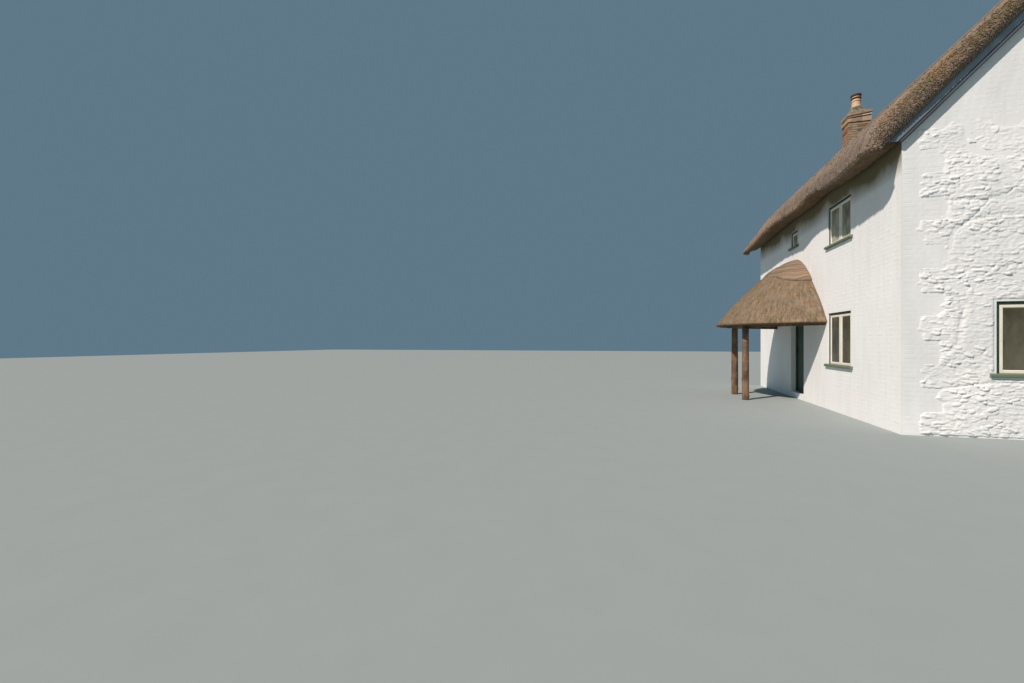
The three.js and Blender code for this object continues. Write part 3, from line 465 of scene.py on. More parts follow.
def floor_boards():
    """Elm boards, planed and waxed: 200 mm wide along the room, each its own shade of brown."""
    material, tree, shader = start_material("waxed_elm_boards", Roughness=0.45, Specular_IOR_Level=0.4)
    boards = add_node(tree, "TexBrick", {
        "Vector": place_pattern(tree, 1), "Color1": linear("#7a5a3c"), "Color2": linear("#946f4a"),
        "Mortar": linear("#2e2118"), "Scale": 1, "Mortar Size": 0.003, "Brick Width": 3.4, "Row Height": 0.2})
    # The grain is 3 mm wide, drawn at 12 mm so that it shows
    grains = place_pattern(tree, (0.4, 0.012, 0.012))
    grain = add_node(tree, "TexNoise", {"Vector": grains, "Scale": 1, "Detail": 5, "Roughness": 0.6})
    shade = add_node(tree, "MapRange", {0: grain, 1: 0.25, 2: 0.75, 3: 0.7, 4: 1.15})
    colour = add_node(tree, "Mix", {0: 1.0, 6: boards, 7: shade}, data_type="RGBA", blend_type="MULTIPLY")
    finish_surface(tree, shader, colour, grain, 0.2, 0.002)
    return material


def flag_stones():
    """Limestone flags, sawn and worn by feet: 450 by 600 mm, grey-buff, with dark joints."""
    material, tree, shader = start_material("worn_limestone_flags", Roughness=0.7, Specular_IOR_Level=0.35)
    flags = add_node(tree, "TexBrick", {
        "Vector": place_pattern(tree, 1), "Color1": linear("#8f8878"), "Color2": linear("#a39a87"),
        "Mortar": linear("#4f4a40"), "Scale": 1, "Mortar Size": 0.006, "Brick Width": 0.6,
        "Row Height": 0.45})
    veins = place_pattern(tree, 0.15)
    vein = add_node(tree, "TexNoise", {"Vector": veins, "Scale": 1, "Detail": 7, "Roughness": 0.65})
    shade = add_node(tree, "MapRange", {0: vein, 1: 0.3, 2: 0.7, 3: 0.75, 4: 1.15})
    colour = add_node(tree, "Mix", {0: 1.0, 6: flags, 7: shade}, data_type="RGBA", blend_type="MULTIPLY")
    finish_surface(tree, shader, colour, vein, 0.3, 0.004)
    return material


def drawn_glass():
    """Window glass, drawn in thin sheets, with painted light in its colour: dull olive as painted shade of
    the dark rooms behind it, paler towards its foot as painted reflection, and darker where the sun strikes
    it as painted shade. Slow waves bend what it mirrors."""
    material, tree, shader = start_material(
        "drawn_window_glass", Roughness=0.06, IOR=1.2, Transmission_Weight=0.15, Specular_IOR_Level=0.3)
    waves = place_pattern(tree, (0.22, 0.22, 0.4))
    wave = add_node(tree, "TexNoise", {"Vector": waves, "Scale": 1, "Detail": 4, "Roughness": 0.55})
    # Painted reflection: the pane is drawn paler towards its foot
    foot = add_node(tree, "Attribute", output="Fac", attribute_name="foot")
    pale = add_node(tree, "Math", {0: foot, 1: 0.2, 2: wave}, operation="MULTIPLY_ADD")
    spread = add_node(tree, "MapRange", {0: pale, 1: 0.38, 2: 0.78})
    tint = add_node(tree, "Mix", {0: spread, 6: linear("#837a5c"), 7: linear("#d0c9b0")}, data_type="RGBA")
    # Painted shade: panes that the sun strikes are drawn darker
    sunlit = add_node(tree, "Attribute", output="Fac", attribute_name="sunlit")
    shown = add_node(tree, "Mix", {0: sunlit, 6: tint, 7: linear("#34362f")}, data_type="RGBA")
    finish_surface(tree, shader, shown, wave, 0.12, 0.01)
    return material


def studio_floor():
    """A painted studio floor, rolled matt: plain and pale."""
    material, tree, shader = start_material("rolled_studio_paint", Roughness=0.9, Specular_IOR_Level=0.1)
    cells = place_pattern(tree, 0.4)
    cell = add_node(tree, "TexNoise", {"Vector": cells, "Scale": 1, "Detail": 2, "Roughness": 0.5})
    colour = add_node(tree, "Mix", {0: cell, 6: linear("#969e9d"), 7: linear("#9aa2a1")}, data_type="RGBA")
    finish_surface(tree, shader, colour, cell, 0.05, 0.002)
    return material


THATCH = combed_straw("combed_straw_thatch", "#5b4e42", "#a49486", "#8c8179", "#84705a", 0.03, 0.32, 0.55)
RIDGE = combed_straw("newer_ridge_straw", "#625243", "#ad9882", "#978877", "#84705a", 0.03, 0.32, 0.55)
PORCH_STRAW = combed_straw("porch_straw_thatch", "#53473a", "#9b8976", "#84776a", "#6d5b4a", 0.045, 0.3, 0.45)
CAP_STRAW = combed_straw("laid_porch_cap_straw", "#4a3d32", "#9c8a76", "#877968", "#6d5b4a", 0.035, 0.7, 0.25)
PAINTED = masonry_paint()
BRICK = fired_brick("clamp_fired_brick", "#554b3f", "#9a8d79", "#b38766", False)
CAP_BRICK = fired_brick("weathered_cap_brick", "#94826d", "#cfbc9f", "#b08a70", False)
HEARTH_BRICK = fired_brick("hearth_brick", "#8a5238", "#b57c56", "#ad6d48", True)
JOINTS = lime_mortar("weathered_lime_joints", "#aca294", "#6d6459")
FLAUNCHING = lime_mortar("trowelled_lime_flaunching", "#8f8775", "#555040")
CLAY = buff_clay()
BOARD_PAINT = brushed_paint("slate_blue_board_paint", "#7f8a94", "#95a0a8", "#a6b0b6", 0.6)
GREEN_PAINT = brushed_paint("dark_green_joinery_paint", "#243a2a", "#3c4f3d", "#75846c", 0.5)
CREAM_PAINT = brushed_paint("cream_joinery_paint", "#edeadb", "#dfdac8", "#f2efe2", 0.5)
DOOR_PAINT = brushed_paint("dark_green_door_paint", "#2c4433", "#46594a", "#75846c", 0.5)
OAK = riven_oak()
BOARDS = floor_boards()
FLAGS = flag_stones()
GLASS = drawn_glass()
STUDIO = studio_floor()


# Surfaces as arrays


def noise(u, v, seed):
    """Value noise from -1 to 1: random values on a lattice, blended between with a smoothstep both ways."""
    table = np.random.default_rng(seed).uniform(-1, 1, (256, 256))
    iu, iv = np.floor(u).astype(int), np.floor(v).astype(int)
    fu, fv = u - iu, v - iv
    fu, fv = fu * fu * (3 - 2 * fu), fv * fv * (3 - 2 * fv)
    low = table[iu % 256, iv % 256] * (1 - fu) + table[(iu + 1) % 256, iv % 256] * fu
    high = table[iu % 256, (iv + 1) % 256] * (1 - fu) + table[(iu + 1) % 256, (iv + 1) % 256] * fu
    return low * (1 - fv) + high * fv


def ramp(value, start, end):
    """A smooth step from 0 at the start to 1 at the end."""
    share = np.clip((value - start) / (end - start), 0, 1)
    return share * share * (3 - 2 * share)


def grid_faces(rows, columns, around=False, along=False):
    """The quads of a grid of points. The last column joins the first where it runs around, and the last row
    the first where it is also closed along."""
    index = np.arange(rows * columns).reshape(rows, columns)
    if around:
        index = np.hstack([index, index[:, :1]])
    if along:
        index = np.vstack([index, index[:1]])
    return np.stack([index[:-1, :-1], index[1:, :-1], index[1:, 1:], index[:-1, 1:]], -1).reshape(-1, 4)


def tube_faces(rows, columns):
    """The quads of a tube of rings, and the faces that close its two ends."""
    ring = np.arange(columns)[None, :]
    return [grid_faces(rows, columns, around=True), ring, ring[:, ::-1] + (rows - 1) * columns]


def rim_of(sheet):
    """The points or rows along the edge of a grid, once round."""
    return np.concatenate([sheet[:-1, 0], sheet[-1, :-1], sheet[:0:-1, -1], sheet[0, :0:-1]])


def with_maps(places, *maps):
    """A sheet's places, followed by its five maps: two of flow, then under, moss and broken."""
    return np.dstack([places, *(np.broadcast_to(values, places.shape[:2]) for values in maps)])


def signed_volume(points, faces):
    """Six times the volume inside: the sum of the triple products of each face's fan of triangles."""
    total = 0.0
    for group in faces:
        for k in range(1, group.shape[1] - 1):
            a, b, c = points[group[:, 0]], points[group[:, k]], points[group[:, k + 1]]
            total += np.einsum("ij,ij->", a, np.cross(b, c))
    return total


def turn_outwards(points, faces):
    """The faces of a closed mesh, all reversed where its volume comes out negative."""
    if signed_volume(points - points.mean(0), faces) < 0:
        return [group[:, ::-1] for group in faces]
    return faces


def add_piece(name, points, faces, material, replaces=(), flow=None, shades=None, smooth=True,
              weld=False):
    """A mesh object at the origin that rides on the root body, with its finish and its maps."""
    faces = turn_outwards(points, faces)
    mesh = bpy.data.meshes.new(name)
    corners = np.concatenate([group.ravel() for group in faces])
    sizes = np.concatenate([np.full(len(group), group.shape[1]) for group in faces])
    starts = np.concatenate([[0], np.cumsum(sizes)[:-1]])
    mesh.vertices.add(len(points))
    mesh.vertices.foreach_set("co", points.astype(np.float32).ravel())
    mesh.loops.add(len(corners))
    mesh.loops.foreach_set("vertex_index", corners.astype(np.int32))
    mesh.polygons.add(len(sizes))
    mesh.polygons.foreach_set("loop_start", starts.astype(np.int32))
    mesh.polygons.foreach_set("use_smooth", np.full(len(sizes), smooth))
    if flow is not None:
        mesh.uv_layers.new(name="flow").data.foreach_set("uv", flow[corners].astype(np.float32).ravel())
    for key, values in (shades or {}).items():
        layer = mesh.attributes.new(key, "FLOAT", "POINT")
        layer.data.foreach_set("value", np.broadcast_to(values, len(points)).astype(np.float32))
    mesh.update(calc_edges=True)
    if weld:
        work = bmesh.new()
        work.from_mesh(mesh)
        bmesh.ops.remove_doubles(work, verts=work.verts, dist=1e-5)
        work.to_mesh(mesh)
        work.free()
    mesh.materials.append(material)
    piece = bpy.data.objects.new(name, mesh)
    bpy.context.scene.collection.objects.link(piece)
    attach(piece, "root")
    if replaces:
        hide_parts(*replaces)


def closed_sheets(top, under, rows):
    """Joins two sheets on the same grid to one closed body. A band of rows runs round their edges, and each
    point of it lies a share of the way from the top sheet's edge to the under sheet's. The channels after the
    first three, the maps, are blended with the places."""
    share = np.linspace(0, 1, rows + 1)[:, None, None]
    band = rim_of(top) * (1 - share) + rim_of(under) * share
    values = np.concatenate([part.reshape(-1, top.shape[2]) for part in (top, under, band)])
    count = top.shape[0] * top.shape[1]
    sheet = grid_faces(top.shape[0], top.shape[1])
    around = grid_faces(rows + 1, band.shape[1], around=True) + 2 * count
    return values, [np.concatenate([sheet, sheet[:, ::-1] + count, around])]


def add_thatch_body(name, top, under, rows, material, replaces):
    """A thatch body from two sheets with maps."""
    values, faces = closed_sheets(top, under, rows)
    shades = {"under": values[:, 5], "moss": values[:, 6], "broken": values[:, 7]}
    add_piece(name, values[:, :3], faces, material, replaces, values[:, 3:5], shades, weld=True)


def add_stubs(name, roots, sides, ups, outs, shrink, material, shades, replaces=()):
    """Many four-sided stubs as one mesh: each is a rectangle on a surface, half as wide and high as its two
    vectors, and a smaller one at the end of its third."""
    signs = np.array([(-1, -1), (1, -1), (1, 1), (-1, 1)])
    wide = signs[None, :, :1] * sides[:, None]
    high = signs[None, :, 1:] * ups[:, None]
    foot = roots[:, None] + wide + high
    tip = (roots + outs)[:, None] + shrink[:, None, :1] * wide + shrink[:, None, 1:] * high
    points = np.concatenate([foot, tip], axis=1).reshape(-1, 3)
    one = np.array([(3, 2, 1, 0), (4, 5, 6, 7), (0, 1, 5, 4), (1, 2, 6, 5), (2, 3, 7, 6), (3, 0, 4, 7)])
    faces = (one[None] + 8 * np.arange(len(roots))[:, None, None]).reshape(-1, 4)
    shades = {key: np.repeat(values, 8) for key, values in shades.items()}
    add_piece(name, points, [faces], material, replaces, shades=shades, smooth=False)


def scatter_straw_ends(name, sheet, weight, count, half, height, droop, seed, material):
    """Cut ends of straw bundles, scattered over a sheet by the weight of its faces: each stands out along the
    surface's normal, leans towards its lower edge, and has its own size and tone."""
    rng = np.random.default_rng(seed)
    points = sheet[:-1, :-1, :3].reshape(-1, 3)
    along = (sheet[1:, :-1, :3] - sheet[:-1, :-1, :3]).reshape(-1, 3)
    down = (sheet[:-1, 1:, :3] - sheet[:-1, :-1, :3]).reshape(-1, 3)
    normal = np.cross(along, down)
    area = np.linalg.norm(normal, axis=1)
    chance = area * weight[:-1, :-1].ravel()
    chosen = rng.choice(len(points), count, p=chance / chance.sum())
    share = rng.uniform(0, 1, (2, count, 1))
    roots = points[chosen] + share[0] * along[chosen] + share[1] * down[chosen]
    normal = normal[chosen] / area[chosen, None]
    outside = np.sign(np.sum(normal[:, 2]))
    normal = normal * outside
    down = down[chosen] / np.maximum(np.linalg.norm(down[chosen], axis=1, keepdims=True), 1e-9)
    turn = rng.uniform(-0.6, 0.6, (count, 1))
    up = down * np.cos(turn) + np.cross(normal, down) * np.sin(turn)
    side = np.cross(up, normal)
    size = half * rng.uniform(0.55, 1.35, (2, count, 1))
    tall = height * rng.uniform(0.3, 1.3, (count, 1))
    shrink = rng.uniform(0.45, 0.85, (count, 2))
    maps = sheet[:-1, :-1].reshape(-1, sheet.shape[2])[chosen]
    tone = rng.uniform(-0.28, 0.22, count)
    shades = {"tone": tone, "under": maps[:, 5], "moss": maps[:, 6], "broken": maps[:, 7]}
    add_stubs(name, roots - 0.006 * normal, side * size[0], up * size[1],
              (normal + droop * down) * tall, shrink, material, shades)


def surface_normals(points):
    """Unit normals of a grid of points, from the cross product of its two differences."""
    normals = np.cross(np.gradient(points, axis=0), np.gradient(points, axis=1))
    return normals / np.maximum(np.linalg.norm(normals, axis=2, keepdims=True), 1e-9)


def run_length(points):
    """Distance along each row of a grid from its first point."""
    steps = np.linalg.norm(np.diff(points, axis=1), axis=2)
    return np.concatenate([np.zeros((len(points), 1)), np.cumsum(steps, axis=1)], axis=1)


def straw_relief(along, down, seed):
    """How far a coat of straw stands out: slow swells, hand-sized dressing marks, and combed strands."""
    swell = 0.016 * noise(along / 1.3, down / 1.0, seed)
    dressing = 0.008 * noise(along / 0.3, down / 0.5, seed + 1)
    strands = 0.005 * noise(along / 0.08, down / 0.4, seed + 2)
    return swell + dressing + strands


# Main thatch


def roof_underside(out):
    """Height of the thatch's underside at a distance from the ridge: the walls' top, and the rise inwards."""
    return WALL_TOP + (HALF_DEPTH - np.abs(out)) * ROOF_RISE


def thatch_top(out, share):
    """Top of the thatch: its underside and a share of its height there, which thins towards the ridge, less a
    parabola that rounds the ridge off. A share under 0 hangs below the underside's line."""
    thinning = (THATCH_HEIGHT - THATCH_HEIGHT_AT_RIDGE) / (HALF_DEPTH - RIDGE_REACH)
    height = THATCH_HEIGHT - thinning * np.clip(HALF_DEPTH - np.abs(out), 0, None)
    rounding = RIDGE_ROUNDING * np.clip(1 - np.abs(out) / RIDGE_REACH, 0, None) ** 2
    return roof_underside(out) + np.where(share > 0, share * (height - rounding), share * THATCH_HEIGHT)


def eaves_lift(side, x):
    """How far the eaves sweep up at a place along X: the sum of bell curves."""
    return sum(lift * np.exp(-(((x - middle) / spread) ** 2)) for middle, lift, spread in EAVES_SWEEPS[side])


def edge_changes(side, x):
    """How far the top of one slope's end has sunk at a place along X, and how far its edge is cut back."""
    if side == "rear":
        return 0 * x, 0 * x
    start, full, depth = FRONT_SINK
    begin, whole, whole_to, end, cut = FRONT_CUT
    return depth * ramp(-x, start, full), cut * ramp(x, begin, whole) * ramp(x, end, whole_to)


def thatch_stations(turn_to, steps, middle):
    """Places along X, the share of the thatch's height there and the turn round the verge: level between the
    gables, and half an ellipse round each verge, which tucks in under it by the turn given."""
    turn = np.linspace(0, turn_to, steps)
    roll = HALF_LENGTH + (VERGE_END - HALF_LENGTH) * np.sin(turn)
    share = 1 - (1 + VERGE_TUCK) * (1 - np.cos(turn)) / 2
    flat = np.linspace(-HALF_LENGTH, HALF_LENGTH, middle)[1:-1]
    x = np.concatenate([-roll[::-1], flat, roll])
    shares = np.concatenate([share[::-1], np.ones(middle - 2), share])
    turns = np.concatenate([turn[::-1], np.zeros(middle - 2), turn])
    return x[:, None], shares[:, None], turns[:, None]


def spread_rows(table, places):
    """Values between a table's columns, at fractional column numbers."""
    column = np.minimum(places.astype(int), table.shape[1] - 2)
    share = places - column
    return table[:, column] * (1 - share) + table[:, column + 1] * share


def top_outline(side, x, share, turn, seed):
    """The top of each cross section, out from the ridge and up: down the slope, whose edge the eaves' sweep
    lifts, then round the eaves' end to the ragged lip. Also gives the lip's height."""
    lift = eaves_lift(side, x)
    sink, cut = edge_changes(side, x)
    ragged = 0.016 * noise(x / 0.42, 0 * x, seed + 7) + 0.01 * noise(x / 0.13, 0 * x, seed + 8)
    edge = VERGE_FOOT + (EAVES_EDGE - cut - VERGE_FOOT) * np.cos(turn * math.pi / 2 / VERGE_TURN) ** 2
    stations = np.array(SLOPE_STATIONS)
    fade = np.clip((stations / EAVES_EDGE - LIFT_START) / (1 - LIFT_START), 0, None) ** LIFT_POWER
    beyond = np.clip(stations - RIDGE_REACH, 0, None) * (edge - RIDGE_REACH) / (EAVES_EDGE - RIDGE_REACH)
    slope_out = np.minimum(stations, RIDGE_REACH) + beyond
    raised = TOP_LIFT_SHARE * ramp(share, 0, 0.5) * lift - np.clip(share, 0, 1) * sink
    slope_up = thatch_top(slope_out, share) + fade * raised
    end_top = thatch_top(edge, share) + raised
    lip = np.minimum(EAVES_LIP + lift + ragged * (turn == 0), end_top - 0.01)
    past, part = np.array(EAVES_END).T
    end_out = edge + past * np.clip(share, 0.2, 1)
    end_up = lip + (end_top - lip) * part
    return np.concatenate([slope_out, end_out], axis=1), np.concatenate([slope_up, end_up], axis=1), lip


def under_outline(side, x, share, lip_out, lip):
    """The underside of each cross section: out under the roof, down the wall's face to a groove, and along
    the soffit to the lip. Round a verge it runs behind the boards, and hangs by a share of the thatch's
    height."""
    bend = np.linspace(HALF_LENGTH + 0.001, BOARD_FRONT + 0.002, VERGE_STEPS - 2)
    bend = np.concatenate([[HALF_LENGTH - 0.001], bend, [BOARD_FRONT + 0.012]])
    under_x = np.concatenate([-bend[::-1], x[VERGE_STEPS:-VERGE_STEPS, 0], bend])[:, None]
    droop = np.where(np.abs(under_x) > BOARD_FRONT + 0.01, -share * THATCH_HEIGHT, 0)
    roof_out = np.array([*ROOF_STATIONS, HALF_DEPTH + FIT]) + 0 * x
    soffit_part = np.array(SOFFIT_PARTS)
    soffit_out = roof_out[:, -1:] + soffit_part * (lip_out - roof_out[:, -1:])
    junction = EAVES_JUNCTION + SOFFIT_LIFT_SHARE * eaves_lift(side, x)
    soffit_up = junction + (lip - junction) * soffit_part
    soffit_up[:, :2] += SOFFIT_GROOVE
    hung = np.minimum(roof_underside(soffit_out), roof_underside(HALF_DEPTH)) - droop
    verge_up = np.where(soffit_out < VERGE_FOOT, hung, lip)
    soffit_up = np.where(np.abs(under_x) > HALF_LENGTH, verge_up, soffit_up)
    roof_up = roof_underside(roof_out) + 0.001 - droop
    return under_x, np.hstack([roof_out, soffit_out]), np.hstack([roof_up, soffit_up])


def slope_sheets(side, seed):
    """Both sheets of one slope, from the outlines of its cross sections, with points that crowd towards the
    eaves. The top stands out along its normals by the straw's relief. Also gives where cut ends stand out."""
    x, share, turn = thatch_stations(VERGE_TURN, VERGE_STEPS, MIDDLE_STATIONS[side])
    top_out, top_up, lip = top_outline(side, x, share, turn, seed)
    under_x, under_out, under_up = under_outline(side, x, share, top_out[:, -1:], lip)

    middle = len(x) // 2
    lengths = np.hypot(np.diff(top_out[middle]), np.diff(top_up[middle]))
    length = np.concatenate([[0], np.cumsum(lengths)])
    even = np.linspace(0, 1, SECTION_POINTS)
    places = np.interp(length[-1] * (1.35 * even - 0.35 * even ** 2), length, np.arange(len(length)))
    tables = [spread_rows(table, places) for table in (top_out, top_up, under_out, under_up)]
    out, up, under_out, under_up = tables
    for table in (out, up, out, up):
        table[:, 1:-3] = (table[:, :-4] + 2 * table[:, 1:-3] + table[:, 2:-2]) / 4
    sign = -1 if side == "front" else 1
    top = np.dstack([x + 0 * out, sign * out, up])
    under = np.dstack([under_x + 0 * out, sign * under_out, under_up])

    down = run_length(top)
    round_verge = run_length(top.transpose(1, 0, 2))[MEASURED_POINT][:, None]
    weight = ramp(out, RIDGE_REACH - 0.1, RIDGE_REACH + 0.12) * ramp(turn, VERGE_TURN, VERGE_TURN - 0.3)
    relief = straw_relief(round_verge, down, seed) * weight
    top[:, :-1] += (surface_normals(top) * (-sign * relief)[:, :, None])[:, :-1]
    in_soffit = ramp(np.abs(under[:, :, 1]), HALF_DEPTH + 0.05, HALF_DEPTH + 0.25) * (turn == 0)
    under[:, :, 2] += 0.014 * noise(x / 0.15, under[:, :, 1] / 0.1, seed + 5) * in_soffit
    under[:, -1] = top[:, -1]

    # The tan band along the lip, partly painted highlight: it starts higher and is stronger towards the far
    # gable
    first, rise, *rising = TAN_AND_HIGHLIGHT_BAND
    band_start = first - rise * ramp(-x, *rising)
    at_arris = ramp(places, band_start, band_start + 1.1) * (turn < 0.5)
    at_verge = ramp(turn, *WORN_VERGE)
    moss = 0.62 + 0.52 * at_verge * ramp(top[:, :, 2], 4.3, 5.4) * (1 - 0.6 * ramp(turn, 0.9, 1.9))
    tan_strength = 0.2 + 0.7 * ramp(-x, -3.0, 0.8) - 0.55 * ramp(-x, 2.4, 3.4)
    tan_and_highlight = at_arris * np.clip(tan_strength + 0.35 * noise(x / 0.35, 0 * x, seed + 9), 0, 1)
    sheet = with_maps(top, round_verge, down, 0, moss, tan_and_highlight)
    lining = with_maps(under, round_verge, down + 2, 1, 0, 0)
    ends = at_verge ** 2 + 0.1 * ramp(places, 11.5, 13.5) * (turn == 0) + 0.012
    return sheet, lining, ends * ramp(out, 0.1, 0.3)


def add_slopes():
    """Both slopes of the roof, and the cut ends of straw that stand out of each."""
    for side, seed, count in (("front", 11, 11500), ("rear", 29, 3000)):
        sheet, lining, ends = slope_sheets(side, seed)
        add_thatch_body(f"{side}_thatch_coat", sheet, lining, 2, THATCH, [f"{side}_thatch"])
        scatter_straw_ends(f"{side}_straw_ends", sheet, ends, count, 0.0115, 0.015, 0.5, seed + 3,
                           THATCH)


def add_ridge():
    """The saddle over the ridge: the thatch's top raised by the saddle's height, with its edges rounded."""
    x, share, _ = thatch_stations(math.radians(100), 12, 210)
    out = np.linspace(-RIDGE_REACH, RIDGE_REACH, 34)[None, :] + 0 * x
    x = x + 0 * out
    edge = 0.022 * (np.abs(out) / RIDGE_REACH) ** 14
    base = thatch_top(out, share)
    down = np.abs(out) / math.cos(math.atan(ROOF_RISE))
    relief = 0.4 * straw_relief(x, down + 3 * (out > 0), 47)
    top = with_maps(np.dstack([x, out, base + RIDGE_HEIGHT - edge + relief]), x, down, 0, 0.7, 0)
    under = with_maps(np.dstack([x, out, base - 0.01]), x, down, 1, 0, 0)
    add_thatch_body("ridge_saddle", top, under, 3, RIDGE, ["ridge_thatch"])


# Porch


def porch_top(radius):
    """Top of the porch's thatch: it falls from the apex with a power of the radius."""
    height, reach, power = PORCH_FALL
    return PORCH_APEX - height * (radius / reach) ** power


def porch_under(angle, radius):
    """Underside over a point: the rafters' planes, and the lip's flat bottom where that is higher."""
    facing = [np.cos(angle - turn) for turn in (-PORCH_SIDE_ANGLE, 0, PORCH_SIDE_ANGLE)]
    distance = radius * np.max(facing, axis=0)
    planes = PORCH_UNDER_AT_PLATE + (PORCH_PLATE_DISTANCE - distance) * PORCH_UNDER_RISE
    return np.maximum(planes, PORCH_LIP)


def around_porch(angle, radius, up):
    """Places from an angle off the porch's axis, where 0 looks away from the wall, a radius and a height."""
    x = PORCH_X + radius * np.sin(angle)
    y = -HALF_DEPTH - FIT - radius * np.cos(angle)
    return np.dstack([x, y, up + 0 * angle])


def add_porch_thatch():
    """The porch's coat: its section turned half round, straight across where it meets the wall."""
    angle = np.linspace(-math.pi / 2, math.pi / 2, 170)[:, None]
    coat = np.linspace(0, 1.88, 66)
    lip_radius, lip_up = np.array(PORCH_LIP_PROFILE).T
    radius = np.concatenate([coat, lip_radius])[None, :] + 0 * angle
    top = around_porch(angle, radius, np.concatenate([porch_top(coat), PORCH_LIP + lip_up]))
    down = run_length(top)
    flat = angle * 1.2
    relief = straw_relief(flat, down, 61) * ramp(radius, 0.2, 0.6)
    top = top - surface_normals(top) * relief[:, :, None]
    inner = np.linspace(0, lip_radius[-1], radius.shape[1])[None, :] + 0 * angle
    under = around_porch(angle, inner, porch_under(angle, inner))
    under[:, -1] = top[:, -1]
    top[[0, -1], :, 1] = -HALF_DEPTH - FIT
    cut = ramp(np.arange(radius.shape[1]), len(coat) - 1, len(coat) + 2)
    sheet = with_maps(top, flat, down, 0.8 * cut, 0.78, 0)
    add_thatch_body("porch_thatch_coat", sheet, with_maps(under, flat, down, 1, 0, 0), 6, PORCH_STRAW,
                    ["porch_thatch"])
    ends = ramp(radius, 0.7, 1.0) * ramp(np.abs(angle), math.pi / 2 - 0.01, math.pi / 2 - 0.08)
    scatter_straw_ends("porch_straw_ends", sheet, ends, 3600, 0.012, 0.009, 0.9, 67, PORCH_STRAW)


def add_porch_cap():
    """The patch over the porch's apex: an oval shell with a wavy, rounded rim, its straw combed sideways."""
    angle = np.linspace(-math.pi / 2, math.pi / 2, 130)[:, None]
    rim = 1 / np.hypot(np.sin(angle) / PORCH_CAP_WIDTH, np.cos(angle) / PORCH_CAP_DEPTH)
    wave = 1 - 0.03 * (1 + np.cos(9 * angle)) * np.cos(angle) + 0.03 * noise(angle / 0.3, 0 * angle, 73)
    share = np.linspace(0, 1, 44)[None, :]
    radius = share * rim * wave
    thick = PORCH_CAP_HEIGHT * (1 + 0.35 * ramp(share, 0.7, 0.95)) * np.sqrt(1 - 0.85 * share ** 12)
    relief = 0.009 * noise(radius / 0.07, angle / 0.5, 71) * ramp(radius, 0.1, 0.4)
    top = around_porch(angle, radius, porch_top(radius) + thick + relief)
    under = around_porch(angle, radius, porch_top(radius) - 0.01)
    flow = radius + 0.03 * noise(angle / 0.25, radius / 0.3, 75), angle * 0.35
    add_thatch_body("porch_cap_patch", with_maps(top, *flow, 0, 0.6, 0.3 * ramp(angle, 0.2, 1.1)),
                    with_maps(under, *flow, 1, 0, 0), 3, CAP_STRAW, ["porch_thatch_cap"])


def add_posts():
    """Rustic poles: a round section that swells at its knots and wanders a little on its way up."""
    angle = np.linspace(0, 2 * math.pi, 28, endpoint=False)[None, :]
    for name, seed in (("porch_post_left", 3), ("porch_post_right", 5)):
        low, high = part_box(name)
        middle, radius = (low + high) / 2, (high.x - low.x) / 2
        up = np.linspace(low.z, high.z, 90)[:, None]
        rng = np.random.default_rng(seed)
        swell = 0.005 * noise(up / 0.5, 0.8 * np.cos(angle) + 3, seed)
        for level, turn in zip(rng.uniform(low.z, high.z, 7), rng.uniform(0, 2 * math.pi, 7)):
            swell = swell + 0.012 * np.exp(-(((up - level) / 0.035) ** 2) + 3 * (np.cos(angle - turn) - 1))
        taper = 0.93 - 0.07 * (up - low.z) / (high.z - low.z)
        around = radius * taper + swell
        x, y = middle.x + around * np.cos(angle), middle.y + around * np.sin(angle)
        points = np.dstack([x, y, up + 0 * angle]).reshape(-1, 3)
        add_piece(f"{name}_pole", points, tube_faces(*x.shape), OAK, [name])


# Brick and stone


def on_wall(wall, across, up, out):
    """Places on a wall's face: across it as seen from outside, up, and out from the face."""
    middle, direction, outward = WALLS[wall]
    x = middle[0] + across * direction[0] + out * outward[0]
    y = middle[1] + across * direction[1] + out * outward[1]
    return np.stack([x, y, up], axis=-1)


def across_wall(wall, place):
    """How far across a wall, as seen from outside, a place lies from its middle."""
    direction = WALLS[wall][1]
    return place.x * direction[0] + place.y * direction[1]


def wall_openings(wall):
    """Each opening in a wall: left, right, bottom and top, seen from outside."""
    nodes = [f"{name}_frame" for name, where in WINDOW_WALLS.items() if where == wall]
    nodes += ["door_frame"] if wall == "front" else []
    found = []
    for node in nodes:
        low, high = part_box(node)
        left, right = sorted(across_wall(wall, corner) for corner in (low, high))
        horn = 0 if node == "door_frame" else SILL_HORN
        found.append((left + horn, right - horn, low.z, high.z))
    return found


def clear_spans(left, right, low, high, openings):
    """The stretches of a course that no opening interrupts, apart from slivers."""
    spans = [(left, right)]
    for start, end, bottom, top in openings:
        if bottom < high and top > low:
            parts = [part for a, b in spans for part in ((a, min(b, start)), (max(a, end), b))]
            spans = [(a, b) for a, b in parts if b > a]
    return [(a, b) for a, b in spans if b - a > 0.03]


def lay_units(start, end, lengths):
    """Middles and half lengths of the units that fill a stretch, the last one cut to fit."""
    edges = start + np.concatenate([[0], np.cumsum(lengths)])
    edges = np.append(edges[edges < end - 0.04], end)
    return (edges[1:] + edges[:-1]) / 2, np.diff(edges) / 2 - JOINT / 2


def brick_course(rng, row, stretches):
    """Bricks of one course in Flemish bond: headers and stretchers in turn, each course shifted on the last.
    Gives each brick's place across and up, and its half sizes."""
    units = []
    for start, end in stretches:
        pattern = np.tile([STRETCHER, HEADER], int((end - start) / HEADER) + 2)[row % 2:]
        first = [HEADER * 1.5] if row % 2 else []
        lengths = np.concatenate([first, pattern]) * rng.uniform(0.985, 1.015)
        middles, halves = lay_units(start, end, lengths)
        units += [(m, (row + 0.5) * COURSE, h, (COURSE - JOINT) / 2) for m, h in zip(middles, halves)]
    return units


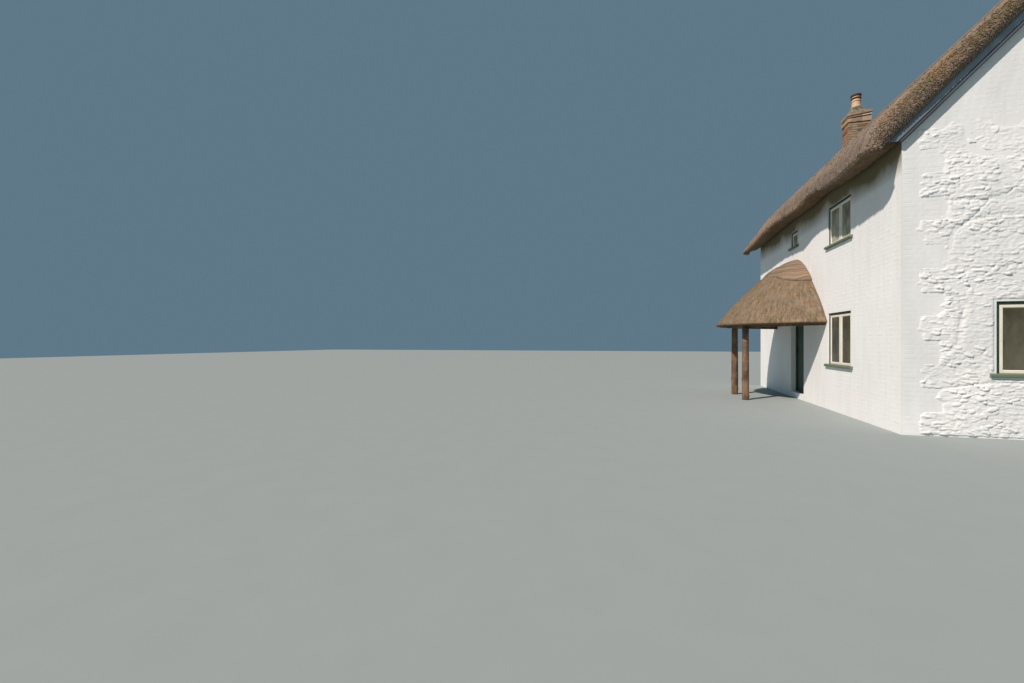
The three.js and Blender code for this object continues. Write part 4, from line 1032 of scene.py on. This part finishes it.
def add_bricks(name, wall, units, rng):
    """Painted bricks that stand a little proud, with a slope of paint round each, steeper above and below."""
    across, up, half_across, half_up = np.array(units).T
    side, out = [np.array([*way, 0.0]) for way in WALLS[wall][1:]]
    height = rng.uniform(*BRICK_PROUD, (len(units), 1))
    ends, edges = PAINT_SLOPES
    shrink = np.stack([np.maximum(1 - ends / half_across, 0.1), 1 - edges / half_up], axis=1)
    add_stubs(name, on_wall(wall, across, up, np.full(len(units), -0.001)), side * half_across[:, None],
              np.array([0.0, 0.0, 1.0]) * half_up[:, None], out * (height + 0.001), shrink, PAINTED,
              {})


def stone_cells(u, v, seed):
    """Which random point of a lattice lies nearest to each place, how much nearer than the next one, and how
    far the place is above it."""
    shift = np.random.default_rng(seed).uniform(0.1, 0.9, (128, 128, 2))
    nearest = np.full(u.shape, 9.0)
    second = np.full(u.shape, 9.0)
    above = np.zeros(u.shape)
    number = np.zeros(u.shape, int)
    for du, dv in ((i, j) for i in (-1, 0, 1) for j in (-1, 0, 1)):
        iu, iv = np.floor(u).astype(int) + du, np.floor(v).astype(int) + dv
        point = shift[iu % 128, iv % 128]
        distance = np.hypot(u - iu - point[..., 0], v - iv - point[..., 1])
        second = np.minimum(second, np.maximum(nearest, distance))
        closer = distance < nearest
        number = np.where(closer, (iu % 128) * 128 + iv % 128, number)
        above = np.where(closer, v - iv - point[..., 1], above)
        nearest = np.minimum(nearest, distance)
    return number, second - nearest, above


def rubble_relief(across, up, seed):
    """How far painted rubble stands out: wandering rows of stones whose joints lean, each stone with its own
    height and most of it at its lower edge, chips between them, lumps of thick paint, and long cracks. The
    stones come in patches, with smoother ones between."""
    u = (across + 0.045 * noise(across / 0.14, up / 0.08, seed) + 0.35 * up) / STONE_LENGTH
    wander = 0.026 * noise(across / 0.16, up / 0.08, seed + 1)
    wander = wander + 0.06 * noise(across / 0.7, up / 0.5, seed + 9)
    v = (up + wander) / STONE_HEIGHT
    rng = np.random.default_rng(seed + 3)
    number, inside, above = stone_cells(u, v, seed + 2)
    height = 0.002 + 0.023 * rng.beta(1.0, 2.6, 128 * 128)[number]
    stone = height * ramp(inside, 0.0, 0.3) * (1 - rng.uniform(0.3, 1.3, 128 * 128)[number] * above)
    number, inside, above = stone_cells(2.2 * u + 7, 1.9 * v + 3, seed + 4)
    chips = 0.007 * rng.beta(1.0, 2.4, 128 * 128)[number] * ramp(inside, 0.0, 0.35) * (1 - above)
    patches = 0.5 + 0.55 * ramp(noise(across / 0.42, up / 0.3, seed + 7), -0.8, 0.5)
    lumps = 0.0025 * noise(across / 0.04, up / 0.028, seed + 5)
    swell = 0.007 * noise(across / 0.7, up / 0.5, seed + 6)
    cracks = 0.012 * np.exp(-((noise(across / 1.3, up / 0.5, seed + 8) / 0.05) ** 2))
    return 0.006 + patches * (stone + chips) + lumps + swell - cracks


def rubble_cover(across, up, openings, seed):
    """Where the rubble shows: inside the toothed brick quoins, under the smooth gable and clear of openings,
    with a ragged border."""
    ragged = 0.07 * noise(across / 0.08, up / 0.06, seed + 8) + 0.06 * noise(across / 0.3, up / 0.3, seed + 9)
    sides = ramp(HALF_DEPTH - quoin_width(up) - np.abs(across) + ragged, -0.03, 0.06)
    uneven = 0.14 * noise(across / 0.4, up / 0.3, seed + 10)
    cover = sides * ramp(SMOOTH_GABLE_FROM - up + ragged + uneven, -0.02, 0.2)
    for left, right, bottom, top in openings:
        beside = np.maximum(left - across, across - right)
        outside = np.maximum(beside, np.maximum(bottom - up, up - top))
        cover = cover * ramp(outside, 0.015, 0.06)
    return cover


def crack_depth(across, up):
    """How deep the near gable's cracks lie: a narrow bell curve across each line, faded out at its ends."""
    depth = 0 * across + 0 * up
    for places, heights in GABLE_CRACKS:
        line = np.interp(across, places, heights) + 0.03 * noise(across / 0.045, up / 0.06, 19)
        inside = ramp(across, places[0], places[0] + 0.1) * ramp(-across, -places[-1], 0.1 - places[-1])
        broken = ramp(noise(across / 0.09, up / 0.09, 23), -0.6, 0.3)
        depth = depth + 0.018 * np.exp(-(((up - line) / 0.015) ** 2)) * inside * broken
    return depth


def add_rubble(name, wall, panel, openings, seed):
    """One panel of the rubble's relief on a grid, whose rim lies behind the wall's face."""
    left, right, low, high = panel
    step = RUBBLE_STEPS[wall]
    across = np.linspace(left, right, int((right - left) / step) + 2)[:, None]
    up = np.linspace(low, high, int((high - low) / (0.85 * step)) + 2)[None, :]
    relief = rubble_relief(across, up, seed)
    if wall == "near":
        relief = relief - crack_depth(across, up)
    out = rubble_cover(across, up, openings, seed) * (RUBBLE_RIM + relief) - RUBBLE_RIM
    out[[0, -1], :] = -RUBBLE_RIM
    out[:, [0, -1]] = -RUBBLE_RIM
    points = on_wall(wall, across + 0 * up, up + 0 * across, out).reshape(-1, 3)
    back = rim_of(np.arange(out.size).reshape(out.shape))[None, ::-1]
    add_piece(name, points, [grid_faces(*out.shape), back], PAINTED)


def quoin_width(z):
    """The brick quoins are toothed: narrow and wide by turns."""
    return np.where(z % (2 * QUOIN_BAND) < QUOIN_BAND, *QUOIN_TEETH)


def gable_half_width(z):
    """Half the gable's width at a height: full up to the walls' top, then less by the roof's slope."""
    return HALF_DEPTH if z < WALL_TOP else HALF_DEPTH - (z - WALL_TOP) / ROOF_RISE


def course_rows(top):
    """Number, bottom and top of each course up to a height."""
    return [(row, row * COURSE, (row + 1) * COURSE) for row in range(int(top / COURSE))]


def add_long_wall_bricks(wall, seed):
    """The long walls are brick from the floor to the soffit."""
    rng = np.random.default_rng(seed)
    openings = wall_openings(wall)
    units = []
    for row, low, high in course_rows(EAVES_JUNCTION + 0.08):
        units += brick_course(rng, row, clear_spans(-HALF_LENGTH, HALF_LENGTH, low, high, openings))
    add_bricks(f"{wall}_wall_brickwork", wall, units, rng)


def add_gable_masonry(wall, seed):
    """The gables are rubble between toothed brick quoins, and brick above the eaves. Round a window the
    rubble is in four panels, which meet its frame."""
    rng = np.random.default_rng(seed)
    units = []
    for row, low, high in course_rows(roof_underside(0) - 0.35):
        reach = gable_half_width(high + 0.02)
        stretches = [(-reach, reach)]
        if low < SMOOTH_GABLE_FROM - COURSE:
            width = quoin_width((low + high) / 2)
            stretches = [(-reach, -reach + width), (reach - width, reach)]
        units += brick_course(rng, row, stretches)
    add_bricks(f"{wall}_gable_brickwork", wall, units, rng)

    openings = wall_openings(wall)
    reach = HALF_DEPTH - QUOIN_TEETH[0] + 0.08
    floor, top = 0.02, SMOOTH_GABLE_FROM + 0.1
    panels = {"rubble": (-reach, reach, floor, top)}
    for left, right, bottom, head in openings:
        panels = {
            "rubble_above_window": (-reach, reach, head + 0.005, top),
            "rubble_below_window": (-reach, reach, floor, bottom - 0.005),
            "rubble_left_of_window": (-reach, left - 0.005, bottom - 0.03, head + 0.03),
            "rubble_right_of_window": (right + 0.005, reach, bottom - 0.03, head + 0.03),
        }
    for label, panel in panels.items():
        add_rubble(f"{wall}_gable_{label}", wall, panel, openings, seed)


# Chimney


def block_template():
    """A block with chamfered edges: three points at each corner, one on each face that meets there. The bits
    of a corner's number are its sides. Gives the corners' signs, which axis each point lies out on, and the
    faces: one for each side, edge and corner, turned outwards."""
    bits = (4, 2, 1)
    quads = []
    for axis in range(3):
        b, c = (axis + 1) % 3, (axis + 2) % 3
        for near in (0, bits[axis]):
            far = near + bits[b]
            quads.append([3 * corner + axis for corner in (near, far, far + bits[c], near + bits[c])])
            for corner in (near, far):
                end = corner + bits[c]
                quads.append([3 * corner + axis, 3 * end + axis, 3 * end + b, 3 * corner + b])
    axes = np.tile(np.arange(3), 8)
    corners = np.repeat(2 * np.indices((2, 2, 2)).reshape(3, -1).T - 1, 3, axis=0)
    shape = corners * 0.8
    shape[np.arange(24), axes] = corners[np.arange(24), axes]
    faces = [np.array(quads), np.arange(24).reshape(8, 3)]
    for group in faces:
        a, b, c = shape[group[:, 0]], shape[group[:, 1]], shape[group[:, 2]]
        inward = np.einsum("ij,ij->i", np.cross(b - a, c - a), shape[group].mean(1)) < 0
        group[inward] = group[inward][:, ::-1]
    return corners, axes, faces


def add_blocks(name, middles, halves, chamfer, shades, material, slot, replaces=(), settle=False):
    """Many chamfered blocks as one mesh: each corner point lies a chamfer in, but out on its own axis."""
    corners, axes, faces = block_template()
    middles, halves = np.array(middles, float), np.array(halves, float)
    inset = np.full((24, 3), chamfer)
    inset[np.arange(24), axes] = 0
    points = (middles[:, None, :] + corners[None] * (halves[:, None, :] - inset[None])).reshape(-1, 3)
    offset = (np.arange(len(middles)) * 24)[:, None, None]
    groups = [(group[None] + offset).reshape(-1, group.shape[1]) for group in faces]
    if settle:
        points[:, 2] = settled(points[:, 1], points[:, 2])
    shades = {key: np.repeat(values, 24) for key, values in shades.items()}
    add_piece(name, points, groups, material, replaces, shades=shades, smooth=False)


def settled(y, z):
    """Heights in the settled cap: each height over its foot shrinks in proportion towards -Y."""
    low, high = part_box("chimney_cap")
    return low.z + (z - low.z) * (1 - CAP_SETTLING * (high.y - y) / (high.y - low.y))


def ring_course(centre, half, low, high, turn, rng):
    """One course of bricks round a rectangle: on each side they start at one corner and end a brick's width
    short of the next, and each course turns the other way. Returns middles and half sizes."""
    middles, halves = [], []
    for side in range(4):
        along_half, across_half = half[side % 2], half[1 - side % 2]
        run = 2 * along_half - BRICK_WIDTH - JOINT
        count = max(1, round(run / STRETCHER))
        length = run / count
        angle = side * math.pi / 2
        depth = BRICK_WIDTH / 2 - across_half
        for k in range(count):
            start = -along_half + k * (length + JOINT / count)
            along = (start + (length - JOINT) / 2) * turn
            x = along * math.cos(angle) - depth * math.sin(angle)
            y = along * math.sin(angle) + depth * math.cos(angle)
            size = [(length - JOINT) / 2, BRICK_WIDTH / 2]
            size = size[::-1] if side % 2 else size
            slip = rng.uniform(-BRICK_SLIP, BRICK_SLIP, 3)
            middles.append((centre[0] + x + slip[0], centre[1] + y + slip[1], (low + high) / 2 + slip[2]))
            halves.append((*size, (high - low) / 2 - 0.004))
    return middles, halves


def add_brick_rings(name, levels, material, replaces, settle=False):
    """Bricks in rings round the stack, and a core of mortar in each: a level gives how far it stands out, a
    bottom, a top and a number of courses. The bricks on the weather side are the orange ones."""
    rng = np.random.default_rng(len(name))
    low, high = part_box("chimney_stack")
    centre = ((low.x + high.x) / 2, (low.y + high.y) / 2)
    size = np.array([(high.x - low.x) / 2, (high.y - low.y) / 2])
    bricks, cores = ([], []), ([], [])
    row = 0
    for past, bottom, top, courses in levels:
        edges = np.linspace(bottom, top, courses + 1)
        for a, b in zip(edges[:-1], edges[1:]):
            found = ring_course(centre, size + past, a, b, 1 if row % 2 else -1, rng)
            for kept, part in zip(bricks, found):
                kept.extend(part)
            row += 1
        cores[0].append((*centre, (bottom + top) / 2))
        cores[1].append((*(size + past - 0.009), (top - bottom) / 2))
    count = len(bricks[0])
    weather_side = np.array(bricks[0])[:, 1] < centre[1] - size[1] + 0.08
    fired = rng.uniform(0, 1, count) ** np.where(weather_side, 0.7, 4.5)
    shades = {"tone": rng.uniform(0, 1, count), "fired": fired}
    add_blocks(name, *bricks, 0.004, shades, material, "brick", replaces, settle)
    add_blocks(f"{name}_joints", *cores, 0.002, {}, JOINTS, "mortar", settle=settle)


def add_chimney():
    """The stack, and its cap of a broad course, a thin one and a slab, with a dark gap under each."""
    low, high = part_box("chimney_stack")
    courses = round((high.z - low.z) / COURSE)
    add_brick_rings("stack_bricks", [(0, low.z, high.z, courses)], BRICK, ["chimney_stack"])
    low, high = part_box("chimney_cap")
    levels = [(past, low.z + bottom, low.z + top, 1) for past, bottom, top in CAP_COURSES]
    levels.append((CAP_SLAB[0], low.z + CAP_SLAB[1], high.z, 1))
    add_brick_rings("cap_bricks", levels, CAP_BRICK, ["chimney_cap"], settle=True)


def add_flaunching():
    """The mortar round the pot's foot: rings that pass from the cap's rectangle to the pot's circle and rise
    in a hollow curve, with the trowel's lumps."""
    low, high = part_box("chimney_flaunching")
    pot_low, pot_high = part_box("chimney_pot")
    middle = (low + high) / 2
    angle = np.linspace(0, 2 * math.pi, 96, endpoint=False)[None, :]
    share = np.concatenate([[0], np.linspace(0, 1, 30)])[:, None]
    across = np.abs(np.cos(angle)) / (high.x - low.x)
    along = np.abs(np.sin(angle)) / (high.y - low.y)
    corner = 0.5 * (across ** 10 + along ** 10) ** -0.1
    radius = corner + (0.5 * (pot_high.x - pot_low.x) - corner) * share
    x, y = middle.x + radius * np.cos(angle), middle.y + radius * np.sin(angle)
    bed = settled(y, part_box("chimney_cap")[1].z + 0 * y)
    lumps = 0.006 * noise(3 * angle / math.pi, 5 * share, 131)
    z = bed + 0.014 + (high.z - bed - 0.014) * share ** 1.5 + lumps * np.sin(math.pi * share)
    z[0] = bed[0] - 0.01
    points = np.dstack([x, y, z]).reshape(-1, 3)
    add_piece("pot_flaunching", points, tube_faces(*z.shape), FLAUNCHING, ["chimney_flaunching"])


def add_pot():
    """The clay pot: a profile turned about its axis, with a foot, two rings round it and a rolled rim. The
    upper ring, the rim and the inside are dark with soot, a band under the lower ring is painted shade, and
    the foot is drawn darker."""
    low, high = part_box("chimney_pot")
    centre, height = (low + high) / 2, high.z - low.z
    places = np.linspace(0, len(POT_PROFILE), POT_POINTS, endpoint=False)
    radius, share = spread_rows(np.array(POT_PROFILE + POT_PROFILE[:1]).T, places)
    for _ in range(2):
        radius = (np.roll(radius, 1) + 2 * radius + np.roll(radius, -1)) / 4
        share = (np.roll(share, 1) + 2 * share + np.roll(share, -1)) / 4
    angle = np.linspace(0, 2 * math.pi, POT_SIDES, endpoint=False)[:, None]
    x, y = centre.x + radius * np.cos(angle), centre.y + radius * np.sin(angle)
    z = low.z + np.clip(share, 0, 1) * height + 0 * angle
    dark = ramp(share, 0.8, 0.84) + ramp(share, 0.6, 0.64) * ramp(share, 0.78, 0.74)
    # Painted shade: a dark band under the lower ring; the foot is drawn darker as well
    dark = dark + 0.5 * ramp(share, 0.1, 0.0) + 0.5 * np.exp(-(((share - 0.46) / 0.02) ** 2))
    dark = dark + (radius < 0.108)
    smoke_and_shade = np.tile(0.75 * np.clip(dark, 0, 1.2), POT_SIDES)
    add_piece("chimney_pot_clay", np.dstack([x, y, z]).reshape(-1, 3),
              [grid_faces(POT_SIDES, POT_POINTS, around=True, along=True)], CLAY,
              ["chimney_pot"], shades={"smoke_and_shade": smoke_and_shade})


# Joinery


def add_bargeboards():
    """A board with a dark bead along its foot and a soffit behind it: one section, carried up one verge and
    down the other under the thatch, to feet that are cut level. Each point of the section gives how far out
    it is from the wall, how far under the thatch, and how dark its paint is drawn: painted shade under the
    thatch and on the soffit, and dark along the bead."""
    outer = BOARD_FRONT - HALF_LENGTH
    back, foot, soffit = outer - 0.03, 0.325, 0.285
    out, drop, dark_share = np.array([
        (outer, FIT, 1), (outer, 0.07, 0.8), (outer, 0.15, 0), (outer, 0.235, 0.1), (outer - 0.012, 0.241, 1),
        (outer - 0.012, 0.262, 1), (outer - 0.004, 0.268, 1), (outer, 0.28, 0.85), (outer, 0.304, 0.85),
        (outer - 0.006, 0.318, 1), (outer - 0.014, foot, 1), (FIT, foot, 1), (FIT, soffit, 1),
        (back, soffit, 1), (back, FIT, 1)]).T
    foot_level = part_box("near_bargeboards")[0].z
    share = np.unique(np.append(np.linspace(-1, 1, 61), 0.0))[:, None]
    y = share * (HALF_DEPTH + (WALL_TOP - drop - foot_level) / ROOF_RISE)
    # The paint is drawn darker towards each foot as well
    shades = {"dark_share": np.clip(dark_share + 0.4 * ramp(np.abs(share), 0.7, 1.0), 0, 1).ravel()}
    for name, side in (("near", 1), ("far", -1)):
        sag = 0.004 * np.abs(noise(y / 0.9, 0 * y, 91 + side)) * (drop > 0.01) * (np.abs(share) < 0.99)
        x = side * (HALF_LENGTH + out) + 0 * y
        points = np.dstack([x, y, roof_underside(y) - drop - sag]).reshape(-1, 3)
        add_piece(f"{name}_verge_boards", points, tube_faces(*y.shape), BOARD_PAINT,
                  [f"{name}_bargeboards"], shades=shades, smooth=False)


def mitred_frame(wall, left, right, bottom, top, stiles, rail, recess, section):
    """A section carried round a rectangle with mitred corners, as points and faces. Each of its points lies a
    share of the stile's or rail's width in from the outer edge, and a depth behind the recess."""
    share, depth = np.array(section).T
    rings = []
    for side, upper in ((0, 0), (1, 0), (1, 1), (0, 1)):
        across = right - stiles[1] * share if side else left + stiles[0] * share
        up = top - rail * share if upper else bottom + rail * share
        rings.append(on_wall(wall, across, up, -(recess + depth)))
    return np.concatenate(rings), [grid_faces(4, len(section), around=True, along=True)]


def bar_mesh(wall, left, right, section):
    """A section in up and out, carried straight across the wall, as points and faces."""
    up, out = np.array(section).T
    ends = [on_wall(wall, np.full(len(section), at), up, out) for at in (left, right)]
    return np.concatenate(ends), tube_faces(2, len(section))


def join_parts(parts):
    """Several closed meshes as one: each part's faces are turned outwards before they are joined."""
    points, groups, offset = [], [], 0
    for part_points, part_faces in parts:
        groups += [group + offset for group in turn_outwards(part_points, part_faces)]
        points.append(part_points)
        offset += len(part_points)
    return np.concatenate(points), groups


def add_window_frame(name, wall, middle, half, low, high):
    """A frame and a nosed sill with horns: the nose outside the wall, and its bed in it."""
    back = FRAME_RECESS + FRAME_DEPTH
    sill_top = low + SILL_HEIGHT
    nose = [
        (low, 0.0), (low, 0.018), (low + 0.012, 0.022), (low + 0.012, 0.03), (low, 0.034),
        (low + 0.004, SILL_PROJECTION - 0.005), (low + 0.012, SILL_PROJECTION),
        (sill_top - 0.016, SILL_PROJECTION), (sill_top - 0.006, SILL_PROJECTION - 0.008), (sill_top, 0.0)]
    bed = [(low, -back), (low, -FIT), (sill_top, -FIT), (sill_top, -back)]
    frame_mesh = mitred_frame(wall, middle - half, middle + half, low, high, (1, 1), 1, FRAME_RECESS,
                              FRAME_SECTION)
    points, faces = join_parts([
        frame_mesh,
        bar_mesh(wall, middle - half - SILL_HORN, middle + half + SILL_HORN, nose),
        bar_mesh(wall, middle - half, middle + half, bed)])
    worn = np.repeat([0, 0.8, 0], [len(frame_mesh[0]), 2 * len(nose), 2 * len(bed)])
    add_piece(f"{name}_joinery", points, faces, GREEN_PAINT, [f"{name}_frame"],
              shades={"worn": worn}, smooth=False)


def add_window(name, wall):
    """A frame and sill, then a moulded ring and a pane for each casement, with a gap where two meet."""
    low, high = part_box(f"{name}_frame")
    left, right = sorted(across_wall(wall, corner) for corner in (low, high))
    middle, half = (left + right) / 2, (right - left) / 2 - SILL_HORN
    add_window_frame(name, wall, middle, half, low.z, high.z)

    lights = LIGHTS.get(name, 2)
    inner = half - FRAME_BAR - 2 * FIT
    bottom, top = low.z + SILL_HEIGHT + FIT, high.z - FRAME_BAR - 2 * FIT
    opening = (2 * inner - 2 * CASEMENT_BAR - (lights - 1) * CASEMENT_MEETING) / lights
    near, past = CASEMENT_FRONT + 0.009, CASEMENT_FRONT + 0.013
    pane = [(bottom + CASEMENT_BAR, -past), (bottom + CASEMENT_BAR, -near), (top - CASEMENT_BAR, -near),
            (top - CASEMENT_BAR, -past)]
    casements, panes = [], []
    left = middle - inner
    for k in range(lights):
        meets = np.array([k > 0, k < lights - 1])
        stiles = np.where(meets, CASEMENT_MEETING / 2, CASEMENT_BAR)
        gaps = CASEMENT_GAP * meets
        right = left + stiles[0] + opening + stiles[1]
        casements.append(mitred_frame(wall, left + gaps[0], right - gaps[1], bottom, top, stiles - gaps,
                                      CASEMENT_BAR, CASEMENT_FRONT, CASEMENT_SECTION))
        panes.append(bar_mesh(wall, left + stiles[0], right - stiles[1], pane))
        left = right
    points, groups = join_parts(casements)
    add_piece(f"{name}_sashes", points, groups, CREAM_PAINT, [f"{name}_casements"],
              smooth=False)
    points, groups = join_parts(panes)
    # Painted light: each pane is paler towards its foot as painted reflection, and darker as painted shade
    # where sunlit
    foot = (points[:, 2] < (low.z + high.z) / 2).astype(float)
    shades = {"foot": foot, "sunlit": SUNLIT_SHARE * (name in SUNLIT_WINDOWS)}
    add_piece(f"{name}_panes", points, groups, GLASS, [f"{name}_glass"], shades=shades, smooth=False)


def add_door():
    """A ledged door of boards: a row of flat faces with a groove between each two, carried up."""
    low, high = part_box("front_door")
    groove, depth = DOOR_GROOVE
    width = (high.x - low.x) / DOOR_BOARDS
    outline = [(low.x, low.y + depth)]
    for left in low.x + width * np.arange(DOOR_BOARDS):
        outline += [(left + groove, low.y), (left + width - groove, low.y), (left + width, low.y + depth)]
    outline = np.array(outline + [(high.x, high.y), (low.x, high.y)])
    points = np.vstack([np.column_stack([outline, np.full(len(outline), z)]) for z in (low.z, high.z)])
    add_piece("front_door_boards", points, tube_faces(2, len(outline)), DOOR_PAINT,
              ["front_door"], smooth=False)


# Frame pieces that keep their own shape


def ease_edges(node, width):
    """Merges a frame piece's loose triangles and rounds its edges a little, as sawn timber wears."""
    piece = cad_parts[node]
    merge = piece.modifiers.new("merge", "WELD")
    merge.merge_threshold = 0.0002
    bevel = piece.modifiers.new("ease", "BEVEL")
    bevel.width = width
    bevel.segments = 2
    bevel.limit_method = "ANGLE"


def paint_frame_pieces():
    """The frame's own pieces that stay in sight get their finishes, and the timber ones softer edges."""
    kept = {
        "ground_floor": FLAGS, "first_floor": BOARDS, "chimney_breast": HEARTH_BRICK, "porch_plate": OAK,
        "porch_rafters": OAK, "door_frame": GREEN_PAINT, "front_wall": PAINTED, "rear_wall": PAINTED,
        "near_gable_wall": PAINTED, "far_gable_wall": PAINTED,
    }
    for node, material in kept.items():
        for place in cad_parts[node].material_slots:
            place.material = material
    for node in ("porch_plate", "porch_rafters", "door_frame"):
        ease_edges(node, 0.006)


# Floor, light and camera


def add_stage():
    """The studio floor: one square under the cottage."""
    mesh = bpy.data.meshes.new("studio_floor")
    corners = [(x * FLOOR_HALF, y * FLOOR_HALF, 0) for x, y in ((-1, -1), (1, -1), (1, 1), (-1, 1))]
    mesh.from_pydata(corners, [], [(0, 1, 2, 3)])
    mesh.materials.append(STUDIO)
    floor = bpy.data.objects.new("studio_floor", mesh)
    bpy.context.scene.collection.objects.link(floor)


def add_light():
    """One soft key, high and from the near side of the front, and an even pale surround."""
    sun = bpy.data.lights.new("key", "SUN")
    sun.energy = SUN_STRENGTH
    sun.angle = SUN_SPREAD
    sun.color = SUN_COLOUR
    key = bpy.data.objects.new("key", sun)
    x, y, z = SUN_FROM
    key.rotation_euler = (math.atan2(math.hypot(x, y), z), 0, math.atan2(x, -y))
    bpy.context.scene.collection.objects.link(key)
    world = bpy.data.worlds.new("surround")
    world.use_nodes = True
    sky = world.node_tree.nodes["Background"]
    sky.inputs["Color"].default_value = linear(SKY_COLOUR)
    sky.inputs["Strength"].default_value = SKY_STRENGTH
    bpy.context.scene.world = world
    bpy.context.scene.view_settings.view_transform = "Standard"


def add_camera():
    """The photograph's camera: level, at eye height, with a wide lens."""
    data = bpy.data.cameras.new("photo")
    data.sensor_width = SENSOR_WIDTH
    data.lens = SENSOR_WIDTH * LENS_PIXELS / IMAGE_WIDTH
    data.clip_end = 500
    camera = bpy.data.objects.new("photo", data)
    camera.location = CAMERA_PLACE
    camera.rotation_euler = (math.radians(90), 0, CAMERA_HEADING)
    bpy.context.scene.collection.objects.link(camera)
    bpy.context.scene.camera = camera


add_camera()
add_light()
add_stage()
paint_frame_pieces()
add_slopes()
add_ridge()
add_porch_thatch()
add_porch_cap()
add_posts()
add_long_wall_bricks("front", 101)
add_long_wall_bricks("rear", 103)
add_gable_masonry("near", 107)
add_gable_masonry("far", 109)
add_chimney()
add_flaunching()
add_pot()
add_bargeboards()
for window, wall in WINDOW_WALLS.items():
    add_window(window, wall)
add_door()
